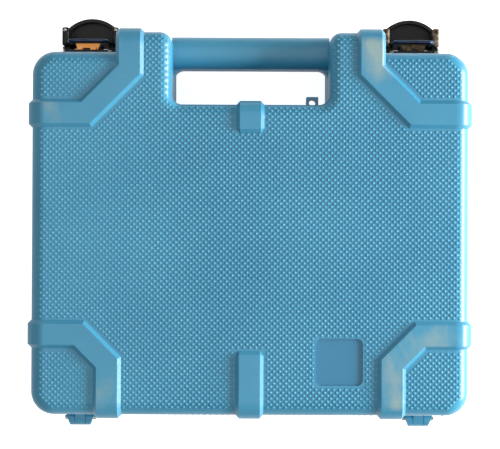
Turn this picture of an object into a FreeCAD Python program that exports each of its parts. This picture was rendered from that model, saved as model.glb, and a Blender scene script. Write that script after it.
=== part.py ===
import FreeCAD, Part
import math
import os
import re

import Sketcher
from FreeCAD import Placement, Rotation, Vector

# Blow-moulded carry case with a hand-held microchip scanner bedded in its foam.
# The case lies on its back: +X to the right, +Y towards the handle, +Z up out of the lid's face.
# Z = 0 is the surface that the case lies on. The case body is centred on X = 0.
# Every place along Y is first worked out from the middle of the case body (body_y = 0) and
# then moved by one shift, so that the origin is under the middle of the whole outline.

SIZES = (
    # The two moulded halves
    ("case_width", 293.0, "case body across its side walls"),
    ("case_length", 243.6, "case body from hinge wall to latch wall"),
    ("half_depth", 42.0, "one half, from parting plane to face"),
    ("corner_round", 15.5, "corner of the body in plan"),
    ("edge_round", 9.0, "roll-over from wall to face"),
    ("parting_gap", 0.3, "gap between the closed halves"),
    ("side_wall", 8.0, "wall beside the storage space"),
    ("face_wall", 7.0, "wall behind the face"),
    ("store_corner", 12.0, "corner of the storage space in plan"),
    ("store_round", 6.0, "floor edge of the storage space"),
    ("store_head", 12.0, "wall between storage space and handle opening"),
    ("seam", 0.5, "dividing planes of a half, past the faces that they run beside"),
    ("corner_seam", 1.5, "dividing planes of a half inside the storage space's walls"),
    ("floor_seam", 2.2, "dividing plane of a half above the storage space's floor"),
    # Bumper straps
    ("strap_rise", 2.6, "how far a strap stands out"),
    ("strap_width", 18.8, "strap across its foot"),
    ("strap_bevel", 2.4, "width of the bevel along a strap"),
    ("strap_bite", 1.0, "how far a strap is sunk in the wall"),
    ("top_strap_y", 79.9, "upper side straps, middle, from body middle"),
    ("top_strap_x", 80.8, "upper edge straps, middle, from body middle"),
    ("top_strap_turn", 110.0, "upper straps, where the side run turns"),
    ("low_strap_y", 67.6, "lower side straps, middle, from body middle"),
    ("low_strap_x", 95.0, "lower edge straps, middle, from body middle"),
    ("low_strap_turn", 114.0, "lower straps, where the side run turns"),
    ("tab_length", 16.0, "centre tab below the handle opening"),
    ("foot_length", 40.0, "centre strap at the hinge wall"),
    # Handle
    ("shoulder_reach", 135.3, "top of the handle shoulders, from body middle"),
    ("shoulder_half", 90.4, "outer side of the handle shoulders, from the middle"),
    ("shoulder_round", 9.0, "roll-over of the handle shoulders"),
    ("grip_half_gap", 53.0, "half of the handle opening's width"),
    ("grip_low", 86.6, "lower side of the handle opening, from body middle"),
    ("grip_corner", 7.0, "lower corners of the handle opening"),
    ("opening_roll", 8.0, "roll-over of the case's face into the handle opening"),
    ("bar_low", 113.0, "underside of the handle bar, from body middle"),
    ("bar_height", 22.0, "handle bar in the plane of the case"),
    ("bar_depth", 16.5, "handle bar in one half, across the parting plane"),
    ("bar_round", 10.0, "rounding of the handle bar"),
    ("bar_corner", 7.0, "upper corners of the handle opening"),
    ("eye_x", 42.6, "padlock eye from the middle"),
    ("eye_width", 8.2, "padlock lug across"),
    ("eye_reach", 7.8, "padlock lug above the opening's lower side"),
    ("eye_depth", 6.0, "padlock lug in one half"),
    ("eye_bore", 4.7, "padlock hole diameter"),
    # Recessed panel in the lid
    ("panel_width", 31.4, "recessed square in the lid's face"),
    ("panel_x", 60.0, "middle of the recessed square"),
    ("panel_y", 85.6, "middle of the recessed square, below body middle"),
    ("panel_depth", 1.4, "depth of the recessed square"),
    ("panel_corner", 4.0, "corner of the recessed square"),
    # Hinges
    ("hinge_x", 116.5, "hinges from the middle"),
    ("hinge_base", 22.0, "hinge bump at the wall"),
    ("hinge_tip", 13.5, "hinge bump at its outer side"),
    ("hinge_out", 5.6, "hinge axis outside the hinge wall"),
    ("knuckle_round", 5.2, "radius of a knuckle"),
    ("lid_knuckle", 7.0, "width of the lid's knuckle"),
    ("hinge_pin", 3.0, "hinge pin diameter"),
    ("pin_play", 0.05, "radial clearance of every pin in its hole"),
    ("part_play", 0.3, "clearance between neighbouring pieces"),
    # Draw latches
    ("latch_x", 111.5, "latches from the middle"),
    ("latch_width", 36.0, "lever across its cheeks"),
    ("lever_cheek", 3.4, "thickness of a lever cheek"),
    ("lever_plate", 2.4, "thickness of the arched lever plate"),
    ("lever_crest", 29.0, "crest of the lever above the latch wall"),
    ("lever_spring", 21.0, "where the arch meets the cheeks, above the wall"),
    ("lever_length", 27.0, "lever from its pivot to its free end"),
    ("plate_setback", 11.0, "arched plate starts this far beyond the pivot"),
    ("pivot_out", 5.0, "lever pivot above the latch wall"),
    ("pivot_down", 7.0, "lever pivot below the parting plane"),
    ("latch_pin", 3.2, "lever pivot pin diameter"),
    ("ear_inner", 4.6, "inner side of a pivot ear, from the latch middle"),
    ("ear_width", 4.0, "thickness of a pivot ear"),
    ("ear_round", 4.0, "rounding of a pivot ear"),
    ("bail_wire", 2.7, "bail wire diameter"),
    ("bail_seat_out", 10.5, "bail pivot above the latch wall"),
    ("bail_seat_down", 19.5, "bail pivot below the parting plane"),
    ("bail_bend", 3.4, "bend of the bail wire"),
    ("bail_top", 15.0, "bail crossbar above the parting plane"),
    ("catch_height", 8.0, "strike plate above the latch wall"),
    ("catch_width", 12.8, "strike plate at its foot"),
    ("catch_tip", 16.8, "strike plate at its outer side"),
    ("catch_plate", 1.6, "strike plate thickness"),
    ("catch_notch", 5.4, "notch between the strike plate's legs"),
    ("catch_foot", 11.0, "length of the strike plate's feet along the wall"),
    ("keeper_thick", 2.0, "black keeper plate under the strike plate"),
    ("rivet_head", 2.8, "rivet head diameter"),
    ("rivet_rise", 1.0, "rivet head height"),
    # Foam
    ("foam_play", 0.4, "foam to wall"),
    ("bed_height", 8.0, "foam base pad"),
    ("block_height", 26.0, "die-cut foam block"),
    ("lid_foam_height", 27.0, "convoluted lid foam"),
    ("finger_round", 13.0, "radius of the finger recesses"),
    ("tray_width", 44.0, "accessory pocket across"),
    ("tray_length", 120.0, "accessory pocket along Y"),
    ("tray_x", 107.0, "middle of the accessory pocket"),
    # Scanner
    ("scanner_x", -109.0, "head end of the scanner"),
    ("scanner_y", -20.0, "middle line of the scanner, from body middle"),
    ("head_length", 88.0, "scanner head along the scanner"),
    ("head_width", 92.0, "scanner head across"),
    ("head_corner", 38.0, "corner of the scanner head"),
    ("scanner_length", 188.0, "whole scanner"),
    ("grip_width", 56.0, "scanner grip across"),
    ("grip_end", 16.0, "corner of the scanner grip"),
    ("scanner_depth", 30.0, "scanner thickness"),
    ("scanner_round", 6.0, "roll-over of the scanner housing"),
    ("scanner_wall", 2.5, "scanner housing wall"),
    ("battery_round", 7.25, "radius of a battery cell"),
    ("battery_length", 50.5, "length of a battery cell"),
    ("battery_start", 118.0, "battery cells from the head end"),
    ("board_thick", 1.6, "circuit board"),
    ("board_start", 84.0, "circuit board from the head end"),
    ("board_length", 94.0, "circuit board along the scanner"),
    ("board_width", 47.0, "circuit board across"),
    ("window_start", 96.0, "display window from the head end"),
    ("window_length", 40.0, "display window along the scanner"),
    ("window_width", 26.0, "display window across"),
    ("button_start", 158.0, "scan button middle from the head end"),
    ("button_round", 8.0, "radius of the scan button"),
    ("button_rise", 1.5, "scan button above the housing"),
    ("button_flange", 1.4, "flange under the scan button"),
    ("button_skirt", 1.6, "flange beyond the scan button's side"),
    ("switch_height", 2.5, "key switch above the circuit board"),
    ("coil_band", 6.0, "antenna winding, radial width"),
    ("coil_height", 8.0, "antenna winding height"),
    ("coil_inset", 4.0, "antenna winding inside the head's inner wall"),
    ("screw_round", 1.4, "housing screw shank radius"),
    ("screw_head", 2.7, "housing screw head radius"),
    ("screw_sink", 2.2, "housing screw head height"),
    ("boss_round", 3.6, "radius of a screw boss"),
)

# Places that several pieces share, written with the sizes above.
PLACES = {
    "wall_y": "(case_length/2)",
    "low_plane": "(strap_rise+half_depth)",
    "high_plane": "(strap_rise+half_depth+parting_gap)",
    "hinge_z": "(strap_rise+half_depth+parting_gap/2)",
    "hinge_y": "(-case_length/2-hinge_out)",
    "outline_shift": "((hinge_out+knuckle_round-lever_crest)/2)",
    "bar_top": "(bar_low+bar_height)",
    "store_low": "(side_wall-case_length/2)",
    "store_high": "(grip_low-store_head)",
    "pivot_y": "(case_length/2+pivot_out)",
    "pivot_z": "(strap_rise+half_depth-pivot_down)",
    "bed_low": "(strap_rise+face_wall+part_play)",
    "block_low": "(strap_rise+face_wall+2*part_play+bed_height)",
    "scanner_low": "block_low",
    "scanner_mid": "(scanner_low+scanner_depth/2)",
    "scanner_top": "(scanner_low+scanner_depth)",
    "cell_z": "(scanner_low+scanner_wall+part_play+battery_round)",
    "board_low": "(scanner_low+scanner_wall+2*part_play+2*battery_round)",
    "board_high": "(board_low+board_thick)",
    "boss_x_near": "(scanner_x+head_length-boss_round)",
    "boss_x_far": "(scanner_x+scanner_length-grip_end)",
    "boss_out": "(grip_width/2-scanner_wall-boss_round-part_play)",
}

doc = FreeCAD.newDocument("scanner_case")
sheet = doc.addObject("Spreadsheet::Sheet", "Sizes")
pieces = []


def fill_sheet():
    for row, (alias, value, note) in enumerate(SIZES, start=1):
        sheet.set(f"A{row}", note)
        sheet.set(f"B{row}", str(value))
        sheet.setAlias(f"B{row}", alias)
    doc.recompute()


def spelled(text):
    """Replace shared places by the sizes they are made of."""
    while any(re.search(rf"\b{name}\b", text) for name in PLACES):
        for name, meaning in PLACES.items():
            text = re.sub(rf"\b{name}\b", meaning, text)
    return text


def formula(text):
    """Turn words such as case_width/2 into an expression on the sheet."""
    text = spelled(str(text))
    for alias, _, _ in SIZES:
        text = re.sub(rf"\b{alias}\b", f"Sizes.{alias}", text)
    return text


def value(text):
    """The same words as a plain number, for shapes that Python makes."""
    known = {alias: float(getattr(sheet, alias)) for alias, _, _ in SIZES}
    total = spelled(str(text))
    for alias in sorted(known, key=len, reverse=True):
        total = re.sub(rf"\b{alias}\b", repr(known[alias]), total)
    return float(FreeCAD.Units.Quantity(total).Value)


def point(x, body_y, z):
    return Vector(value(x), value(body_y), value(z))


def bind(thing, **formulas):
    for name, text in formulas.items():
        thing.setExpression(name, formula(text))
    return thing


def bind_place(thing, x="0", body_y="0", z="0"):
    for letter, text in (("x", x), ("y", body_y), ("z", z)):
        thing.setExpression(f".Placement.Base.{letter}", formula(text))
    return thing


# ---------------------------------------------------------------- building blocks

def block(name, x, body_y, z):
    """A box given by its low and high side along each axis."""
    thing = doc.addObject("Part::Box", name)
    bind(thing, Length=f"({x[1]})-({x[0]})", Width=f"({body_y[1]})-({body_y[0]})", Height=f"({z[1]})-({z[0]})")
    return bind_place(thing, x[0], body_y[0], z[0])


def rod(name, radius, x, body_y, z, along):
    """A cylinder along X or Z; the place along its own axis is a (low, high) pair."""
    thing = doc.addObject("Part::Cylinder", name)
    span = x if along == "X" else z
    bind(thing, Radius=radius, Height=f"({span[1]})-({span[0]})")
    if along == "X":
        thing.Placement = Placement(Vector(), Rotation(Vector(0, 1, 0), 90))
        return bind_place(thing, x[0], body_y, z)
    return bind_place(thing, x, body_y, z[0])


def joined(name, things):
    thing = doc.addObject("Part::MultiFuse", name)
    thing.Shapes = things
    return thing


def cut(name, base, tool):
    thing = doc.addObject("Part::Cut", name)
    thing.Base = base
    thing.Tool = tool
    return thing


def shared(name, base, tool):
    thing = doc.addObject("Part::Common", name)
    thing.Base = base
    thing.Tool = tool
    return thing


def made(name, shape):
    thing = doc.addObject("Part::Feature", name)
    thing.Shape = shape
    return thing


def rounded(name, base, wanted, radius):
    """Round those edges of base that the wanted test picks."""
    doc.recompute()
    thing = doc.addObject("Part::Fillet", name)
    thing.Base = base
    size = value(radius)
    thing.Edges = [(i, size, size) for i, edge in enumerate(base.Shape.Edges, 1) if wanted(edge)]
    return thing


def upright(edge):
    return len(edge.Vertexes) == 2 and abs(edge.Vertexes[0].Z - edge.Vertexes[1].Z) > 1e-3


def side_edge(edge):
    return len(edge.Vertexes) == 2 and abs(edge.Vertexes[0].Y - edge.Vertexes[1].Y) > 1e-3


def level_at(height):
    return lambda edge: all(abs(vertex.Z - value(height)) < 1e-4 for vertex in edge.Vertexes)


def cushion(name, x, body_y, z, corner, roll=None, face=None):
    """A box with rounded upright corners and, if asked, one rolled-over face."""
    body = rounded(name + "_corners", block(name + "_block", x, body_y, z), upright, corner)
    if roll is None:
        return body
    return rounded(name, body, level_at(face), roll)


def keep(label, thing):
    """Name a finished piece and slide it to the common origin."""
    doc.recompute()
    piece = doc.addObject("Part::Compound", label + "_piece")
    piece.Links = [thing]
    piece.Label = label
    piece.setExpression(".Placement.Base.y", formula("outline_shift"))
    pieces.append(piece)
    return piece


# ---------------------------------------------------------------- moulded halves

def outward(half, near, far):
    """Z range of something that lies from near to far outside a half's parting plane."""
    if half == "lid":
        return (f"high_plane+({near})", f"high_plane+({far})")
    return (f"low_plane-({far})", f"low_plane-({near})")


def around(side, middle, reach):
    """X range about a place on one side of the case."""
    return (f"{side}*{middle}-({reach})", f"{side}*{middle}+({reach})")


def beyond(side, start):
    """X range from a place on one side of the case out past its wall."""
    return (start, "case_width") if side > 0 else ("-case_width", f"-({start})")


def out_point(half, x, body_y, depth):
    """A point at a depth outside the half's parting plane."""
    plane = value("high_plane") if half == "lid" else value("low_plane")
    side = 1 if half == "lid" else -1
    return Vector(value(x), value(body_y), plane + side * value(depth))


def round_arc(start, centre, end):
    """The shorter arc from start to end about a centre."""
    mid = (start - centre) + (end - centre)
    mid.normalize()
    return Part.Arc(start, centre + mid * (start - centre).Length, end).toShape()


def swept_strap(spine, start, across, outside):
    """Sweep the bevelled strap section, mitred at its turns."""
    foot = value("strap_width/2")
    face = value("strap_width/2-strap_bevel")
    rise = value("strap_rise")
    bite = value("strap_bite")
    corners = ((-foot, -bite), (-foot, 0), (-face, rise), (face, rise), (foot, 0), (foot, -bite))
    section = Part.makePolygon([start + across * a + outside * b for a, b in corners + corners[:1]])
    sweep = Part.BRepOffsetAPI.MakePipeShell(spine)
    sweep.setTransitionMode(1)
    sweep.add(section)
    sweep.build()
    sweep.makeSolid()
    return sweep.shape()


def corner_strap(half, side, end, strap_x, strap_y, turn, reach):
    """A strap from a side wall over the face, round a 45 degree turn and over the end wall."""
    roll = value("edge_round")
    face = value("half_depth")
    wall = value("case_width/2")

    def at(x, body_y, depth):
        return out_point(half, side * x, end * body_y, depth)

    run_y = value(strap_y)
    run_x = value(strap_x)
    side_x = value(turn)
    end_y = value(f"{strap_y}+({turn}-{strap_x})")
    far = value(reach)
    route = [
        Part.makeLine(at(wall, run_y, 0), at(wall, run_y, face - roll)),
        round_arc(at(wall, run_y, face - roll), at(wall - roll, run_y, face - roll), at(wall - roll, run_y, face)),
        Part.makeLine(at(wall - roll, run_y, face), at(side_x, run_y, face)),
        Part.makeLine(at(side_x, run_y, face), at(run_x, end_y, face)),
        Part.makeLine(at(run_x, end_y, face), at(run_x, far - roll, face)),
        round_arc(at(run_x, far - roll, face), at(run_x, far - roll, face - roll), at(run_x, far, face - roll)),
        Part.makeLine(at(run_x, far, face - roll), at(run_x, far, 0)),
    ]
    return swept_strap(Part.Wire(route), at(wall, run_y, 0), Vector(0, 1, 0), Vector(side, 0, 0))


def centre_strap(half, start_y, wall_y, end, roll):
    """A short strap on the middle line that rises out of the face and wraps over one edge."""
    face = value("half_depth")
    ramp = value("strap_rise") + value("strap_bite")
    start = value(start_y)
    far = value(wall_y)

    def at(body_y, depth):
        return out_point(half, 0, body_y, depth)

    route = [
        Part.makeLine(at(start - end * ramp, face - ramp), at(start, face)),
        Part.makeLine(at(start, face), at(far - end * roll, face)),
        round_arc(at(far - end * roll, face), at(far - end * roll, face - roll), at(far, face - roll)),
        Part.makeLine(at(far, face - roll), at(far, 0)),
    ]
    out = 1 if half == "lid" else -1
    first = at(start - end * ramp, face - ramp)
    outside = Vector(0, -end, out)
    outside.normalize()
    return swept_strap(Part.Wire(route), first, Vector(1, 0, 0), outside)


def half_straps(half):
    straps = []
    for side, word in ((-1, "left"), (1, "right")):
        top = corner_strap(half, side, 1, "top_strap_x", "top_strap_y", "top_strap_turn", "shoulder_reach")
        low = corner_strap(half, side, -1, "low_strap_x", "low_strap_y", "low_strap_turn", "case_length/2")
        straps.append(made(f"{half}_top_strap_{word}", top))
        straps.append(made(f"{half}_low_strap_{word}", low))
    tab = centre_strap(half, "grip_low-tab_length", "grip_low", 1, value("opening_roll"))
    foot = centre_strap(half, "foot_length-case_length/2", "-case_length/2", -1, value("edge_round"))
    straps.append(made(f"{half}_centre_tab", tab))
    straps.append(made(f"{half}_centre_foot", foot))
    return straps


def half_body(half):
    """Body block with its handle shoulders, handle bar and padlock lug."""
    depth = outward(half, "0", "half_depth")
    face = depth[1] if half == "lid" else depth[0]
    main = cushion(f"{half}_main", ("-case_width/2", "case_width/2"), ("-case_length/2", "case_length/2"),
                   depth, "corner_round", "edge_round", face)
    shoulders = []
    for side, word in ((-1, "left"), (1, "right")):
        across = ("grip_half_gap/2", "shoulder_half") if side > 0 else ("-shoulder_half", "-grip_half_gap/2")
        shoulders.append(cushion(f"{half}_shoulder_{word}", across, ("grip_low", "shoulder_reach"),
                                 depth, "shoulder_round/2", "shoulder_round", face))
    whole = joined(f"{half}_whole", [main] + shoulders)
    through = outward(half, "-1", "half_depth+1")
    gap = rounded(f"{half}_gap", block(f"{half}_gap_block", ("-grip_half_gap", "grip_half_gap"),
                                       ("grip_low", "2*shoulder_reach"), through), upright, "grip_corner")
    opened = cut(f"{half}_cut_open", whole, gap)

    def opening_edge(edge):
        beside = all(abs(vertex.X) < value("grip_half_gap+0.001") for vertex in edge.Vertexes)
        return beside and level_at(face)(edge) and edge.BoundBox.YMin > value("grip_low-1")

    opened = rounded(f"{half}_opened", opened, opening_edge, "opening_roll")
    bar_depth = outward(half, "0", "bar_depth")
    bar_face = bar_depth[1] if half == "lid" else bar_depth[0]
    bar_block = block(f"{half}_bar_block", ("-grip_half_gap-strap_bite", "grip_half_gap+strap_bite"),
                      ("bar_low", "bar_top"), bar_depth)

    def bar_edge(edge):
        along = abs(edge.Vertexes[0].X - edge.Vertexes[1].X) > 1
        return along and level_at(bar_face)(edge)

    bar = rounded(f"{half}_bar", bar_block, bar_edge, "bar_round")
    webs = []
    for side, word in ((-1, "left"), (1, "right")):
        across = around(side, "grip_half_gap", "bar_corner")
        web = block(f"{half}_bar_web_{word}", across, ("bar_low-bar_corner", "bar_low+strap_bite"),
                    outward(half, "0", "bar_depth-bar_round"))
        hollow = rod(f"{half}_bar_web_round_{word}", "bar_corner", f"{side}*(grip_half_gap-bar_corner)",
                     "bar_low-bar_corner", outward(half, "-1", "bar_depth"), "Z")
        webs.append(cut(f"{half}_bar_corner_{word}", web, hollow))
    lug = block(f"{half}_lug", ("eye_x-eye_width/2", "eye_x+eye_width/2"),
                ("grip_low-strap_bite", "grip_low+eye_reach"), outward(half, "0", "eye_depth"))
    return [opened, bar, lug] + webs


def storage(half):
    """The storage space of one half."""
    depth = outward(half, "-1", "half_depth-face_wall")
    face = depth[1] if half == "lid" else depth[0]
    return cushion(f"{half}_store", ("side_wall-case_width/2", "case_width/2-side_wall"),
                   ("store_low", "store_high"), depth, "store_corner", "store_round", face)


def hinge_part(half, side, word):
    """The share of one hinge bump that is moulded with this half."""
    name = f"{half}_hinge_{word}"
    middle = f"{side}*hinge_x"
    wide = (f"{middle}-hinge_base/2", f"{middle}+hinge_base/2")
    roll = rod(f"{name}_roll", "knuckle_round", wide, "hinge_y", "hinge_z", "X")
    web = block(f"{name}_web", wide, ("hinge_y", "strap_bite-wall_y"), outward(half, "0", "knuckle_round"))
    bump = doc.addObject("Part::Wedge", f"{name}_bump")
    bind(bump, Xmin=f"{middle}-hinge_tip/2", Xmax=f"{middle}+hinge_tip/2",
         X2min=wide[0], X2max=wide[1],
         Ymin="hinge_y-knuckle_round", Ymax="strap_bite-wall_y",
         Zmin="hinge_z-2*knuckle_round", Zmax="hinge_z+2*knuckle_round",
         Z2min="hinge_z-2*knuckle_round", Z2max="hinge_z+2*knuckle_round")
    whole = shared(f"{name}_whole", joined(f"{name}_joined", [roll, web]), bump)
    play = "0" if half == "lid" else "part_play"
    band = block(f"{name}_band", (f"{middle}-lid_knuckle/2-{play}", f"{middle}+lid_knuckle/2+{play}"),
                 ("hinge_y-hinge_out", "case_length/2"), ("hinge_z-half_depth", "hinge_z+half_depth"))
    share = shared if half == "lid" else cut
    return share(name, whole, band)


def hinge_bore(half, side, word):
    wide = (f"{side}*hinge_x-hinge_base", f"{side}*hinge_x+hinge_base")
    return rod(f"{half}_hinge_bore_{word}", "hinge_pin/2+pin_play", wide, "hinge_y", "hinge_z", "X")


def pivot_ears(side, word):
    """Two ears on the base's latch wall that carry a lever."""
    ears = []
    for hand, sign in (("inner", -1), ("outer", 1)):
        near = f"{side}*latch_x+{sign}*ear_inner"
        far = f"{side}*latch_x+{sign}*(ear_inner+ear_width)"
        across = (near, far) if sign > 0 else (far, near)
        name = f"ear_{word}_{hand}"
        head = rod(f"{name}_head", "ear_round", across, "pivot_y", "pivot_z", "X")
        stem = block(f"{name}_stem", across, ("wall_y-strap_bite", "pivot_y"),
                     ("pivot_z-ear_round", "pivot_z+ear_round"))
        ears += [head, stem]
    return ears


def moulded_half(half):
    solids = half_body(half) + half_straps(half)
    holes = [storage(half)]
    for side, word in ((-1, "left"), (1, "right")):
        solids.append(hinge_part(half, side, word))
        holes.append(hinge_bore(half, side, word))
        if half == "base":
            solids += pivot_ears(side, word)
            across = (f"{side}*latch_x-latch_width", f"{side}*latch_x+latch_width")
            holes.append(rod(f"ear_bore_{word}", "latch_pin/2+pin_play", across, "pivot_y", "pivot_z", "X"))
    holes.append(rod(f"{half}_eye", "eye_bore/2", "eye_x", "grip_low+eye_reach/2", outward(half, "-1", "2*eye_depth"),
                     "Z"))
    if half == "lid":
        holes.append(cushion("lid_panel", ("panel_x-panel_width/2", "panel_x+panel_width/2"),
                             ("-panel_y-panel_width/2", "-panel_y+panel_width/2"),
                             outward(half, "half_depth-panel_depth", "half_depth+1"), "panel_corner"))
    whole = cut(f"{half}_moulding", joined(f"{half}_solids", solids), joined(f"{half}_holes", holes))
    return divided(half, whole)


def divided(half, whole):
    """Divide a moulding along planes into simple solids that meet face to face around its hollows."""
    depth = outward(half, "-2*knuckle_round", "2*half_depth")
    above_store = ("store_high-corner_seam", "case_length")
    regions = {"hinge_bumps": [], "corners": [], "shoulders": [], "pivot_ears": [], "side_walls": []}
    for side in (-1, 1):
        regions["hinge_bumps"].append((around(side, "hinge_x", "hinge_base/2+seam"),
                                       ("-case_length", "-case_length/2-seam"), depth))
        regions["corners"].append((beyond(side, "shoulder_half+seam"), above_store, depth))
        regions["shoulders"].append((beyond(side, "grip_half_gap-seam"), above_store, depth))
        regions["pivot_ears"].append((around(side, "latch_x", "ear_inner+ear_width+seam"),
                                      ("case_length/2", "case_length"), depth))
        regions["side_walls"].append((beyond(side, "case_width/2-side_wall-corner_seam"),
                                      ("-case_length", "store_high"), depth))
    everywhere = ("-case_width", "case_width")
    regions["padlock_lug"] = [(around(1, "eye_x", "eye_width/2+seam"), ("grip_low+seam", "(grip_low+bar_low)/2"), depth)]
    regions["handle"] = [(everywhere, above_store, depth)]
    regions["face_panel"] = [(everywhere, ("-case_length", "case_length"),
                              outward(half, "half_depth-face_wall-floor_seam", "2*half_depth"))]
    order = ["hinge_bumps", "padlock_lug", "corners", "shoulders", "handle", "face_panel", "side_walls"]
    if half == "base":
        order.insert(0, "pivot_ears")
    rest = whole
    sections = []
    for word in order:
        boxes = [block(f"{half}_{word}_region_{i}", *sides) for i, sides in enumerate(regions[word])]
        region = joined(f"{half}_{word}_region", boxes) if len(boxes) > 1 else boxes[0]
        sections.append(shared(f"{half}_{word}", rest, region))
        rest = cut(f"{half}_without_{word}", rest, region)
    sections.append(rest)
    half_piece = doc.addObject("Part::Compound", f"{half}_sections")
    half_piece.Links = sections
    return half_piece


# ---------------------------------------------------------------- turned and flat pieces

def plane_sketch(body, name, role):
    sketch = body.newObject("Sketcher::SketchObject", name)
    plane = next(item for item in body.Origin.OriginFeatures if item.Role == role)
    sketch.AttachmentSupport = [(plane, "")]
    sketch.MapMode = "FlatFace"
    return sketch


def centred_rectangle(body, name, width, height):
    """A rectangle sketch about the body's own origin."""
    sketch = plane_sketch(body, name, "XY_Plane")
    half_w = value(width) / 2
    half_h = value(height) / 2
    corners = [Vector(-half_w, -half_h), Vector(half_w, -half_h), Vector(half_w, half_h), Vector(-half_w, half_h)]
    for start, end in zip(corners, corners[1:] + corners[:1]):
        sketch.addGeometry(Part.LineSegment(start, end))
    for i in range(4):
        sketch.addConstraint(Sketcher.Constraint("Coincident", i, 2, (i + 1) % 4, 1))
    for i, kind in enumerate(("Horizontal", "Vertical", "Horizontal", "Vertical")):
        sketch.addConstraint(Sketcher.Constraint(kind, i))
    sketch.addConstraint(Sketcher.Constraint("Symmetric", 0, 1, 1, 2, -1, 1))
    wide = sketch.addConstraint(Sketcher.Constraint("DistanceX", 0, 1, 0, 2, 2 * half_w))
    tall = sketch.addConstraint(Sketcher.Constraint("DistanceY", 1, 1, 1, 2, 2 * half_h))
    sketch.setExpression(f"Constraints[{wide}]", formula(width))
    sketch.setExpression(f"Constraints[{tall}]", formula(height))
    return sketch


def padded(body, sketch, length):
    pad = body.newObject("PartDesign::Pad", f"{sketch.Name}_pad")
    pad.Profile = sketch
    bind(pad, Length=length)
    sketch.Visibility = False
    doc.recompute()
    return pad


def soft_corners(body, base, wanted, radius, name):
    fillet = body.newObject("PartDesign::Fillet", name)
    picked = [f"Edge{i}" for i, edge in enumerate(base.Shape.Edges, 1) if wanted(edge)]
    fillet.Base = (base, picked)
    bind(fillet, Radius=radius)
    doc.recompute()
    return fillet


def slab(name, x, body_y, z, corner=None):
    """A flat padded plate with rounded corners, given by its sides."""
    body = doc.addObject("PartDesign::Body", name)
    sketch = centred_rectangle(body, f"{name}_outline", f"({x[1]})-({x[0]})", f"({body_y[1]})-({body_y[0]})")
    pad = padded(body, sketch, f"({z[1]})-({z[0]})")
    if corner:
        soft_corners(body, pad, upright, corner, f"{name}_corner_fillet")
    return bind_place(body, f"(({x[0]})+({x[1]}))/2", f"(({body_y[0]})+({body_y[1]}))/2", z[0])


def turned(name, steps):
    """A revolved body along its own X from (radius, length) steps."""
    body = doc.addObject("PartDesign::Body", name)
    sketch = plane_sketch(body, f"{name}_section", "XY_Plane")
    outline = [Vector(0, 0)]
    along = 0
    for radius, length in steps:
        outline.append(Vector(along, value(radius)))
        along += value(length)
        outline.append(Vector(along, value(radius)))
    outline.append(Vector(along, 0))
    count = len(outline)
    for start, finish in zip(outline, outline[1:] + outline[:1]):
        sketch.addGeometry(Part.LineSegment(start, finish))
    for i in range(count):
        sketch.addConstraint(Sketcher.Constraint("Coincident", i, 2, (i + 1) % count, 1))
        level = i % 2 == 1
        sketch.addConstraint(Sketcher.Constraint("Horizontal" if level else "Vertical", i))
    sketch.addConstraint(Sketcher.Constraint("Coincident", 0, 1, -1, 1))
    for step, (radius, length) in enumerate(steps):
        line = 1 + 2 * step
        reach = sketch.addConstraint(Sketcher.Constraint("DistanceX", line, 1, line, 2, value(length)))
        rise = sketch.addConstraint(Sketcher.Constraint("DistanceY", -1, 1, line, 1, value(radius)))
        sketch.setExpression(f"Constraints[{reach}]", formula(length))
        sketch.setExpression(f"Constraints[{rise}]", formula(radius))
    spin = body.newObject("PartDesign::Revolution", f"{name}_turn")
    spin.Profile = sketch
    spin.ReferenceAxis = (sketch, ["H_Axis"])
    spin.Angle = 360
    sketch.Visibility = False
    return body


def hinge_pin(side, word):
    body = turned(f"pin_{word}", (("hinge_pin/2", "hinge_base-2*part_play"),))
    bind_place(body, f"{side}*hinge_x-hinge_base/2+part_play", "hinge_y", "hinge_z")
    keep(f"hinge_pin_{word}", body)


def pivot_pin(side, word):
    """Headed pin through the lever's cheeks and the ears."""
    body = turned(f"pivot_{word}", (("latch_pin", "rivet_rise"),
                                    ("latch_pin/2", "latch_width+2*part_play"),
                                    ("latch_pin", "rivet_rise")))
    bind_place(body, f"{side}*latch_x-latch_width/2-part_play-rivet_rise", "pivot_y", "pivot_z")
    keep(f"latch_pivot_pin_{word}", body)


# ---------------------------------------------------------------- draw latches

def prism(name, corners, plane, low, high):
    """Extrude a closed outline of (a, b) pairs; plane XY runs along Z and plane YZ along X."""
    if plane == "XY":
        points = [point(a, b, low) for a, b in corners]
        run = Vector(0, 0, value(high) - value(low))
    else:
        points = [point(low, a, b) for a, b in corners]
        run = Vector(value(high) - value(low), 0, 0)
    return made(name, Part.Face(Part.makePolygon(points + points[:1])).extrude(run))


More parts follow.
